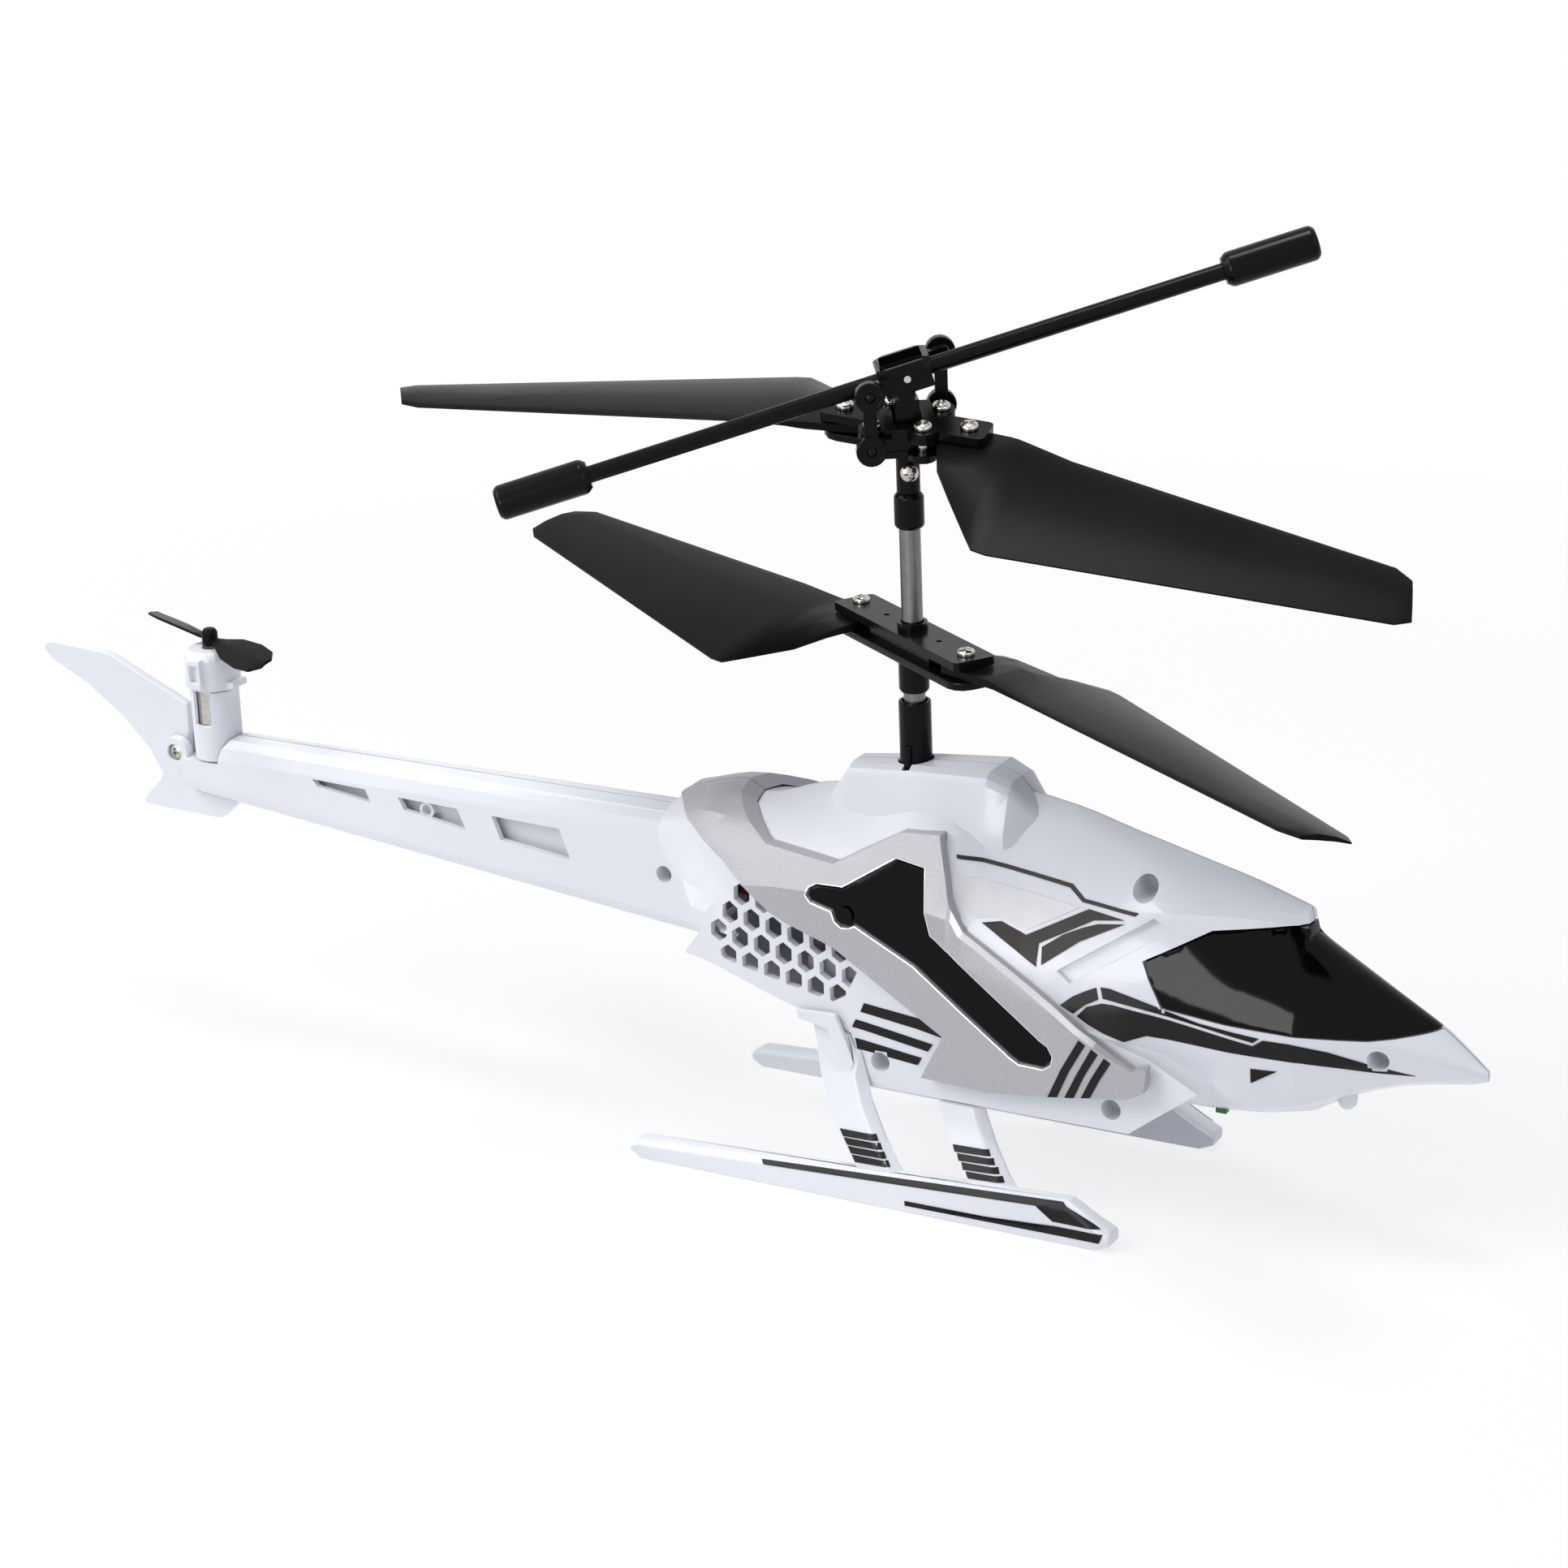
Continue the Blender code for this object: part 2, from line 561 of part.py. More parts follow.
def tidy(mesh):
    """Triangles only, without doubled points, so that the next Boolean starts from flat faces."""
    work = bmesh.new()
    work.from_mesh(mesh)
    bmesh.ops.remove_doubles(work, verts=work.verts, dist=WELD)
    bmesh.ops.dissolve_degenerate(work, edges=work.edges, dist=WELD)
    bmesh.ops.dissolve_limit(work, verts=work.verts, edges=work.edges, angle_limit=math.radians(0.2))
    bmesh.ops.triangulate(work, faces=work.faces)
    work.to_mesh(mesh)
    work.free()


def combine(obj, shape, operation):
    """Apply one Boolean of the object with a solid shape."""
    tool = make(obj.name + "_tool", shape)
    step = obj.modifiers.new(operation, "BOOLEAN")
    step.operation = operation
    step.object = tool
    depsgraph = bpy.context.evaluated_depsgraph_get()
    result = bpy.data.meshes.new_from_object(obj.evaluated_get(depsgraph))
    obj.modifiers.clear()
    tidy(result)
    old = obj.data
    obj.data = result
    bpy.data.meshes.remove(old)
    spare = tool.data
    bpy.data.objects.remove(tool)
    bpy.data.meshes.remove(spare)
    return obj


def shape_of(obj):
    """Turn a working object back into a shape and remove it."""
    points = [tuple(vertex.co) for vertex in obj.data.vertices]
    faces = [tuple(polygon.vertices) for polygon in obj.data.polygons]
    bpy.data.objects.remove(obj)
    return points, faces


def cut(obj, shape):
    return combine(obj, shape, "DIFFERENCE")


def add(obj, shape):
    return combine(obj, shape, "UNION")


def keep(obj, shape):
    return combine(obj, shape, "INTERSECT")


def finish(obj, finish_material, held_by):
    """Scale the piece to metres, give it its material and hang it on its carrier empty."""
    obj.data.transform(Matrix.Scale(MM, 4))
    obj.data.materials.clear()
    obj.data.materials.append(finish_material)
    obj.data.shade_smooth()
    obj.data.set_sharp_from_angle(angle=math.radians(30))
    obj.parent = held_by.empty
    obj.location = -held_by.pivot * MM
    return obj


def merged(shapes):
    """Several separate solids as one shape, for a cutter."""
    points = []
    faces = []
    for part_points, part_faces in shapes:
        start = len(points)
        points += part_points
        faces += [tuple(start + i for i in face) for face in part_faces]
    return points, faces


# Fuselage

def slopes(xs, values):
    """Rates of a smooth curve through the values that never swings past them."""
    steps = [(v1 - v0) / (x1 - x0) for x0, x1, v0, v1 in zip(xs, xs[1:], values, values[1:])]
    inner = [2 * a * b / (a + b) if a * b > 0 else 0.0 for a, b in zip(steps, steps[1:])]
    return steps[:1] + inner + steps[-1:]


def eased(start, end, start_rate, end_rate, t):
    """Cubic between two values with the given rates at its ends."""
    rise = smooth_step(0, 1, t)
    return (start + (end - start) * rise + start_rate * t * (1 - t) ** 2 - end_rate * t * t * (1 - t))


def smooth_stations(drawn, step):
    """Drawn stations with smooth ones added between them, at most a step apart."""
    xs = [x for x, _ in drawn]
    columns = list(zip(*([value for point in line for value in point] for _, line in drawn)))
    rates = [slopes(xs, column) for column in columns]
    result = []
    for i, (x0, x1) in enumerate(zip(xs, xs[1:])):
        run = x1 - x0
        count = math.ceil(run / step)
        for t in (k / count for k in range(count)):
            values = [eased(column[i], column[i + 1], rate[i] * run, rate[i + 1] * run, t)
                      for column, rate in zip(columns, rates)]
            result.append((x0 + run * t, list(zip(values[::2], values[1::2]))))
    return result + drawn[-1:]


def drawn_stations():
    return [(x, [(share * BODY_HALF_WIDTH, z) for share, z in line]) for x, line in STATIONS]


@lru_cache
def body_stations(step=SLICE_STEP):
    """The brow ends in a sharp step: the body is smoothed by itself on each side of it."""
    drawn = drawn_stations()
    split = [x for x, _ in drawn].index(BROW_X) + 1
    return smooth_stations(drawn[:split], step) + smooth_stations(drawn[split:], step)


def half_ring(station, offset, side, seam):
    x, line = station
    line = skin_line(line, offset)
    inner = [(x, side * max(w, seam), z) for w, z in line[1:-1]]
    return [(x, side * seam, line[0][1])] + inner + [(x, side * seam, line[-1][1])]


def body_half(offset, side, seam, stations=None):
    return loft([half_ring(station, offset, side, seam) for station in stations or body_stations()])


def side_prism(outline, side, low, high):
    """Side view outline, extruded between two distances from the centre plane."""
    near, far = (low, high) if side == SIDES["right"] else (-high, -low)
    return prism(outline, near, far, SIDE_VIEW)


def side_hole(x, z, radius, side, low, high, segments=16):
    near, far = (low, high) if side == SIDES["right"] else (-high, -low)
    return rod(radius, near, far, segments, across(x, z))


def rear_cutter(shift):
    outline = [(x + shift, z) for x, z in REAR_EDGE]
    return outline + [(-60.0, REAR_EDGE[-1][1]), (-60.0, REAR_EDGE[0][1])]


def hump_half(side):
    rings = []
    for x, top, top_half, base_half in HUMP_STATIONS:
        line = ((SEAM_HALF_GAP, top), (top_half - 0.5, top - 0.1), (top_half + 0.5, top - 0.7),
                (top_half + 1.1, top - 1.7), (base_half, top - 7.0), (base_half, HUMP_BASE_Z),
                (SEAM_HALF_GAP, HUMP_BASE_Z))
        rings.append([(x, side * w, z) for w, z in line])
    return loft(rings)


def hex_cells():
    """Grid of hexagons in rows that slope with the flank, as side view outlines."""
    corners = ((0, 0.5), (0.5, 0.25), (0.5, -0.25), (0, -0.5), (-0.5, -0.25), (-0.5, 0.25))
    for row in range(-HEX_ROWS, HEX_ROWS):
        for column in range(-HEX_COLUMNS, HEX_COLUMNS):
            centre = Vector(HEX_ORIGIN) + Vector(HEX_STEP) * column + Vector(HEX_RISE) * row
            yield [(centre.x + x * HEX_WIDTH, centre.y + z * HEX_HEIGHT) for x, z in corners]


def inside(point, outline):
    crossings = 0
    for (x0, z0), (x1, z1) in zip(outline, outline[1:] + outline[:1]):
        if (z0 > point[1]) != (z1 > point[1]):
            if point[0] < x0 + (point[1] - z0) * (x1 - x0) / (z1 - z0):
                crossings += 1
    return crossings % 2 == 1


def grille_cutter(side):
    """Hexagons clipped to the grille outline."""
    cells = []
    for cell in hex_cells():
        corners_inside = sum(inside(corner, GRILLE_OUTLINE) for corner in cell)
        if corners_inside == len(cell):
            cells.append(side_prism(cell, side, BODY_HALF_WIDTH - 4, BODY_HALF_WIDTH + 4))
        elif corners_inside > 2:
            clipped = clip(cell, clockwise(GRILLE_OUTLINE))
            cells.append(side_prism(clipped, side, BODY_HALF_WIDTH - 4, BODY_HALF_WIDTH + 4))
    return merged(cells)


def clip(cell, outline):
    """Cell cut by each edge line of the clockwise outline that passes through it."""
    for start, end in zip(outline, outline[1:] + outline[:1]):
        edge = Vector(end) - Vector(start)
        kept = []
        for a, b in zip(cell, cell[1:] + cell[:1]):
            da = edge.x * (a[1] - start[1]) - edge.y * (a[0] - start[0])
            db = edge.x * (b[1] - start[1]) - edge.y * (b[0] - start[0])
            if da <= 0:
                kept.append(a)
            if da * db < 0:
                share = da / (da - db)
                kept.append((a[0] + (b[0] - a[0]) * share, a[1] + (b[1] - a[1]) * share))
        if len(kept) > 2:
            cell = kept
    return cell


def make_shell(side_name, held_by):
    side = SIDES[side_name]
    far = BODY_HALF_WIDTH + 10
    shell = make(side_name + "_shell", body_half(0, side, SEAM_HALF_GAP))
    add(shell, hump_half(side))
    add(shell, side_prism(KEEL_OUTLINE, side, SEAM_HALF_GAP, KEEL_HALF_WIDTH))
    cut(shell, side_prism(rear_cutter(0), side, -1, far))

    hollow_stations = [station for station in body_stations(2 * SLICE_STEP) if station[0] <= LAST_HOLLOW_X]
    hollow = make("hollow", body_half(-BODY_WALL, side, -1, hollow_stations))
    cut(hollow, side_prism(rear_cutter(BODY_WALL), side, -2, far))
    cut(shell, shape_of(hollow))

    cut(shell, boom_loft(SEAT_GAP, -60.0, BOOM_FRONT_X + SEAT_GAP))
    cut(shell, block((-31.0, -22.0), (-4.6, 4.6), (36.0, 41.0)))
    cut(shell, side_prism(grown(WINDOW_OUTLINE, SEAT_GAP), side, -1, far))
    cut(shell, grille_cutter(side))
    for x, z, radius in SHELL_HOLES:
        cut(shell, side_hole(x, z, radius, side, 2.5, far))
    cut(shell, rod(SLEEVE_RADIUS + SEAT_GAP, FRAME_ROOF_Z, SLEEVE_TOP_Z, 24))
    cut(shell, block((-0.6, 0.6), (-SLEEVE_RADIUS - 1.2, 0), (FRAME_ROOF_Z, SLEEVE_TOP_Z)))
    cut(shell, rod(LED_RADIUS + SEAT_GAP, LED_TIP_Z - 2, 26.0, 16, upright(LED_X, 0)))
    cut(shell, block((45.2, 47.6), (-1.2, 1.2), (12.0, BOARD_Z)))
    cut(shell, block((SWITCH_X - 2.6, SWITCH_X + 2.6 + SWITCH_TRAVEL), (-1.2, 1.2), (12.0, KEEL_Z + 2)))
    recess = make("recess", side_prism(RAIL_SLOT, side, 2.0, far))
    cut(recess, body_half(-RECESS_DEPTH, side, -1))
    cut(shell, shape_of(recess))
    return finish(shell, white_plastic(), held_by)


@lru_cache
def panel_stations():
    """Body stations with the flank carried straight on to the front end of the side panel."""
    drawn = []
    for x, line in drawn_stations():
        if x > PANEL_FLANK_X:
            wide = BODY_HALF_WIDTH
            flank = [(wide, 34.0), (wide, 30.0), (wide, 25.0), (KEEL_HALF_WIDTH, KEEL_Z)]
            line = line[:len(line) // 2] + flank + line[-1:]
        if x < PANEL_OUTLINE_FRONT_X:
            drawn.append((x, line))
    return smooth_stations(drawn, SLICE_STEP)


def panel_layer(name, side, low, high):
    """Skin that follows the body between two distances from it."""
    stations = panel_stations()
    layer = make(name, body_half(high, side, SEAM_HALF_GAP, stations))
    cut(layer, body_half(low, side, -1, [(stations[0][0] - 2, stations[0][1])] + stations
                         + [(stations[-1][0] + 2, stations[-1][1])]))
    return layer


def make_side_panel(side_name, held_by):
    side = SIDES[side_name]
    panel = panel_layer(side_name + "_side_panel", side, SEAT_GAP, SEAT_GAP + PANEL_THICKNESS)
    keep(panel, side_prism(PANEL_OUTLINE, side, -1, BODY_HALF_WIDTH + 10))
    cut(panel, side_prism(grown(INSERT_OUTLINE, SEAT_GAP), side, 5, BODY_HALF_WIDTH + 10))
    finish(panel, silver_paint(), held_by)

    top = SEAT_GAP + PANEL_THICKNESS + INSERT_RISE
    insert = panel_layer(side_name + "_panel_insert", side, SEAT_GAP, top)
    keep(insert, side_prism(INSERT_OUTLINE, side, 5, BODY_HALF_WIDTH + 10))
    face = BODY_HALF_WIDTH + top
    add(insert, side_hole(*INSERT_BOSS, INSERT_BOSS_RADIUS, side, face - 1, face + INSERT_BOSS_RISE))
    finish(insert, gloss_black(), held_by)


def whole_ring(x, line):
    right = [(x, -w, z) for w, z in line[1:-1]]
    left = [(x, w, z) for w, z in reversed(line[1:-1])]
    return [(x, 0, line[0][1])] + right + [(x, 0, line[-1][1])] + left


def make_window(held_by):
    front = [station for station in body_stations() if station[0] >= WINDOW_STATION_X]
    inner = [(x, skin_line(line, -BODY_WALL)) for x, line in front if x <= LAST_HOLLOW_X]
    inner.insert(0, (inner[0][0] - 1, inner[0][1]))
    window = make("canopy_window", loft([whole_ring(x, line) for x, line in front]))
    cut(window, loft([whole_ring(x, line) for x, line in inner]))
    keep(window, prism(WINDOW_OUTLINE, -20, 20, SIDE_VIEW))
    return finish(window, gloss_black(), held_by)


# Tail boom and tail

def boom_line(x):
    """Half section of the boom from its top centre to its bottom centre."""
    half = along(((BOOM_REAR_X, BOOM_REAR_HALF_WIDTH), (BOOM_FRONT_X, BOOM_FRONT_HALF_WIDTH)), x)
    bottom = along(((BOOM_REAR_X, BOOM_REAR_BOTTOM_Z), (BOOM_FRONT_X, BOOM_FRONT_BOTTOM_Z)), x)
    return ((0, BOOM_TOP_Z), (half * 0.55, BOOM_TOP_Z - 0.35), (half * 0.86, BOOM_TOP_Z - 1.5),
            (half, BOOM_TOP_Z - 3.4), (half, bottom + 2.6), (half * 0.82, bottom + 0.9),
            (half * 0.5, bottom + 0.15), (0, bottom))


def boom_loft(offset, low, high):
    """Whole boom section, both halves, grown by an offset."""
    rings = []
    for x in (low, high):
        rings.append(whole_ring(x, offset_line(boom_line(x), offset)))
    return loft(rings)


def boom_half(offset, side, seam, low, high):
    return loft([half_ring((x, boom_line(x)), offset, side, seam) for x in (low, high)])


def make_boom(side_name, held_by):
    side = SIDES[side_name]
    boom = make(side_name + "_boom", boom_half(0, side, SEAM_HALF_GAP, BOOM_REAR_X, BOOM_FRONT_X))
    cut(boom, boom_half(-BOOM_WALL, side, -1, BOOM_REAR_X + 9.0, BOOM_FRONT_X + 2))
    lower_front = [(x - SEAT_GAP * 1.5, z) for x, z in REAR_EDGE[4:]] + [(-20.0, 20.0), (-20.0, 36.8)]
    lower_front[0] = (lower_front[0][0], 36.8)
    cut(boom, side_prism(lower_front, side, -1, 20))
    cut(boom, rod(TAIL_TUBE_RADIUS + SEAT_GAP, TAIL_SEAT_Z - SEAT_GAP, 60, 24, upright(TAIL_MOTOR_X, 0)))
    cut(boom, block((-140.0, TAIL_MOTOR_X), (-8, 8), (TAIL_SEAT_Z - SEAT_GAP, 60)))
    lug_low = FIN_THICKNESS / 2 + SEAT_GAP
    lug_high = lug_low + 1.6
    add(boom, side_hole(*FIN_BOSS, FIN_BOSS_RADIUS, side, lug_low, lug_high, 20))
    web = ((FIN_BOSS[0], FIN_BOSS[1] - FIN_BOSS_RADIUS * 0.95), (BOOM_REAR_X + 1.5, 40.6),
           (BOOM_REAR_X + 1.5, TAIL_SEAT_Z - SEAT_GAP), (FIN_BOSS[0], TAIL_SEAT_Z - SEAT_GAP))
    add(boom, side_prism(web, side, lug_low, lug_high))
    cut(boom, side_hole(*FIN_BOSS, BLADE_SCREW_RADIUS + FIT_GAP, side, 0, 10, 12))
    cut(boom, side_hole(*FIN_BOSS, SCREW_HEAD_RADIUS + FIT_GAP, side, lug_low + 0.6, 10, 16))
    for slot in BOOM_SLOTS:
        cut(boom, side_prism(slot, side, 1.0, 20))
    cut(boom, side_hole(*BOOM_HOLE, SIDE_SCREW_HOLE_RADIUS - 0.2, side, 1.0, 20))
    return finish(boom, white_plastic(), held_by)


def tail_tube_top():
    return TAIL_SEAT_Z + TAIL_TUBE_HEIGHT


def tail_cap_top():
    return tail_tube_top() + TAIL_CAP_HEIGHT


def tail_rotor_z():
    return tail_cap_top() + TAIL_ROTOR_LIFT


def make_tail(held_by):
    fin = make("tail_fin", prism(FIN_OUTLINE, -FIN_THICKNESS / 2, FIN_THICKNESS / 2, SIDE_VIEW))
    cut(fin, rod(BLADE_SCREW_RADIUS + FIT_GAP, -5, 5, 12, across(*FIN_BOSS)))
    finish(fin, white_plastic(), held_by)

    seat = FIN_THICKNESS / 2 + SEAT_GAP + 0.6 + FIT_GAP
    screw = make("fin_screw", turned(((0, -seat), (BLADE_SCREW_RADIUS, -seat), (BLADE_SCREW_RADIUS, seat),
                                      (SCREW_HEAD_RADIUS, seat), (SCREW_HEAD_RADIUS * 0.8, seat + 0.7),
                                      (0, seat + 0.8)), 16, across(*FIN_BOSS)))
    finish(screw, steel(), held_by)

    place = upright(TAIL_MOTOR_X, 0)
    bore = TAIL_MOTOR_RADIUS + FIT_GAP
    floor = TAIL_SEAT_Z + 1.4
    mount = make("tail_motor_mount", turned(((0, TAIL_SEAT_Z), (TAIL_TUBE_RADIUS, TAIL_SEAT_Z),
                                             (TAIL_TUBE_RADIUS, tail_tube_top()), (bore, tail_tube_top()),
                                             (bore, floor), (0, floor)), 24, place))
    cut(mount, block((-1.5, 1.5), (-6, 0), (50.2, tail_tube_top() + 1), place))
    finish(mount, white_plastic(), held_by)

    motor_top = tail_cap_top() - TAIL_CAP_ROOF - SEAT_GAP
    motor = make("tail_motor", turned(((0, floor + SEAT_GAP), (TAIL_MOTOR_RADIUS, floor + SEAT_GAP),
                                       (TAIL_MOTOR_RADIUS, motor_top), (1.1, motor_top),
                                       (1.1, motor_top + 0.8), (TAIL_SHAFT_RADIUS, motor_top + 0.8),
                                       (TAIL_SHAFT_RADIUS, tail_rotor_z() + 0.6), (0, tail_rotor_z() + 0.6)),
                                      18, place))
    finish(motor, steel(), held_by)

    low = tail_tube_top() + SEAT_GAP
    top = tail_cap_top()
    roof = top - TAIL_CAP_ROOF
    rim = TAIL_CAP_RADIUS
    hole = 1.1 + SEAT_GAP
    profile = ((bore, low), (rim, low), (rim, roof), (rim - 0.7, top), (hole, top), (hole, roof),
               (bore, roof))
    cap = make("tail_motor_cap", turned(profile, 24, place, ring=True))
    add(cap, block((-1.3, 1.3), (-rim - 0.7, -rim + 0.6), (low + 0.6, roof + 0.4), place))
    cut(cap, block((-0.7, 0.7), (-rim - 2, -rim + 0.1), (low + 1.7, roof - 0.6), place))
    add(cap, block((rim - 0.8, rim + 0.8), (-1.8, 1.8), (low + 0.3, low + 1.4), place))
    finish(cap, white_plastic(), held_by)


def make_tail_rotor(held_by):
    hub_radius = 1.25
    place = upright(TAIL_MOTOR_X, 0, tail_rotor_z()) @ rotation(TAIL_ROTOR_AZIMUTH, "Z")
    bore = TAIL_SHAFT_RADIUS + FIT_GAP
    profile = ((0, 1.8), (hub_radius * 0.7, 1.7), (hub_radius, 1.1), (hub_radius, -0.9), (bore, -0.9),
               (bore, 0.8), (0, 0.8))
    rotor = make("tail_rotor", turned(profile, 16, place))
    for turn in (0, 180):
        rings = []
        for reach, lead, trail in ((0.9, -0.5, 0.5), (3.0, -1.1, 1.1), (7.0, -2.5, 2.4), (12.0, -3.0, 2.9),
                                   (15.6, -2.5, 2.5), (TAIL_ROTOR_RADIUS, -0.9, 1.2)):
            pitch = rotation(TAIL_ROTOR_PITCH * smooth_step(0, 5, reach), "X")
            ring = [(lead, 0.2), (0, 0.5), (trail, 0.2), (trail, -0.2), (0, -0.1), (lead, -0.2)]
            rings.append([tuple(pitch @ Vector((0, y, z)) + Vector((reach, 0, 0))) for y, z in ring])
        add(rotor, moved(loft(rings), place @ rotation(turn, "Z")))
    return finish(rotor, blade_plastic(), held_by)


# Skids

def floor_z(x):
    """Underside of the fuselage at its flank."""
    if x > KEEL_OUTLINE[1][0]:
        return KEEL_Z
    return along([(station[0], station[1][-2][1]) for station in body_stations()], x)


def keel_rear_x(z):
    (top_x, top_z), (low_x, low_z) = KEEL_OUTLINE[:2]
    return along(((low_z, low_x), (top_z, top_x)), z)


def strut(side, edge):
    """Swept strut from its seat under the fuselage, past the keel, to its foot inside the skid rail."""
    rings = []
    for i, (x, z) in enumerate(edge):
        share = smooth_step(edge[-1][1], edge[0][1], z)
        outer = STRUT_FOOT_Y + (STRUT_ROOT_Y - STRUT_FOOT_Y) * share
        inner = outer - STRUT_THICKNESS
        front = x + STRUT_WIDTH
        ring = []
        slanted = ((front + 1.3, inner + 1.0), (front + 0.6, inner), (x + 0.6, inner))
        for u, w in ((x, outer), (front, outer)) + slanted:
            height = z if i else floor_z(u) - SEAT_GAP
            if height > KEEL_Z and u > keel_rear_x(height) - STRUT_KEEL_GAP:
                w = max(w, KEEL_HALF_WIDTH + SEAT_GAP)
            ring.append((u, side * w, height))
        rings.append(ring)
    return loft(rings)


def make_skid(side_name, held_by):
    side = SIDES[side_name]
    rings = []
    nose_rise = SKID_FRONT_HEIGHT * 0.45
    for x, bottom, top in ((SKID_REAR_X, 0.9, 2.2), (SKID_REAR_X + 1.6, 0.0, SKID_REAR_HEIGHT - 0.1),
                           (SKID_REAR_X + 4, 0.0, SKID_REAR_HEIGHT),
                           (SKID_FRONT_X - 6.4, 0.0, SKID_FRONT_HEIGHT),
                           (SKID_FRONT_X - 2.4, 0.0, nose_rise + 1.3), (SKID_FRONT_X, 1.0, nose_rise)):
        half = SKID_WIDTH / 2
        edge = min(0.8, (top - bottom) * 0.3)
        line = [(-half, bottom), (half, bottom), (half + 0.25, top - edge), (half - edge, top),
                (-half + edge, top), (-half, top - edge)]
        rings.append([(x, side * (SKID_HALF_TRACK + w), z) for w, z in line])
    skid = make(side_name + "_skid", loft(rings))
    for edge in (REAR_STRUT, FRONT_STRUT):
        add(skid, strut(side, edge))
    lip = BODY_HALF_WIDTH + SEAT_GAP
    add(skid, side_prism(STRUT_LUG, side, lip - 1.4, lip + 0.9))
    add(skid, side_prism(STRUT_FLANGE, side, lip, lip + 0.9))
    return finish(skid, white_plastic(), held_by)


# Mast and lower rotor

def tube_outer():
    return SHAFT_RADIUS + RUN_GAP + TUBE_WALL


def make_mast(root, outer, inner):
    bore = tube_outer() + RUN_GAP
    low = FRAME_ROOF_Z + FRAME_ROOF_THICKNESS + SEAT_GAP
    sleeve = make("mast_sleeve", tube(bore, SLEEVE_RADIUS, low, SLEEVE_TOP_Z, 24))
    add(sleeve, block((-0.45, 0.45), (-SLEEVE_RADIUS - 0.55, -SLEEVE_RADIUS + 0.3), (low + 2, 63.2)))
    finish(sleeve, black_plastic(), root)

    top = LOWER_BLADE_Z + BLADE_TAB_THICKNESS / 2 + PLATE_THICKNESS
    outer_shaft = make("outer_shaft", tube(SHAFT_RADIUS + RUN_GAP, tube_outer(), TUBE_BOTTOM_Z, top, 24))
    finish(outer_shaft, steel(), outer)

    inner_shaft = make("inner_shaft", rod(SHAFT_RADIUS, SHAFT_BOTTOM_Z, SHAFT_TOP_Z, 16))
    finish(inner_shaft, steel(), inner)
    bore = SHAFT_RADIUS + FIT_GAP
    low = top + 1.2 + RUN_GAP
    spacer = make("shaft_spacer", tube(bore, SPACER_RADIUS, low, COLLAR_BOTTOM_Z - FIT_GAP, 24))
    finish(spacer, steel(), inner)
    low, high = COLLAR_BOTTOM_Z, COLLAR_TOP_Z
    profile = ((bore, low), (COLLAR_RADIUS - 0.3, low), (COLLAR_RADIUS, low + 0.4),
               (COLLAR_RADIUS, high - 0.5), (COLLAR_RADIUS - 0.4, high), (bore, high))
    collar = make("shaft_collar", turned(profile, 24, ring=True))
    finish(collar, black_plastic(), inner)


def pan_screw(name, matrix, shank_low, head_z):
    """Pan head screw along the frame's Z axis, with its head's seat at head_z."""
    profile = ((0, shank_low), (BLADE_SCREW_RADIUS, shank_low), (BLADE_SCREW_RADIUS, head_z),
               (SCREW_HEAD_RADIUS, head_z), (SCREW_HEAD_RADIUS, head_z + SCREW_HEAD_HEIGHT * 0.4),
               (SCREW_HEAD_RADIUS * 0.7, head_z + SCREW_HEAD_HEIGHT * 0.9), (0, head_z + SCREW_HEAD_HEIGHT))
    return make(name, turned(profile, 12, matrix))


def plate_heights():
    """Underside and top of the plates below and above a blade's root, from the blade's mid plane."""
    low = BLADE_TAB_THICKNESS / 2 + FIT_GAP * 2
    return low, low + PLATE_THICKNESS


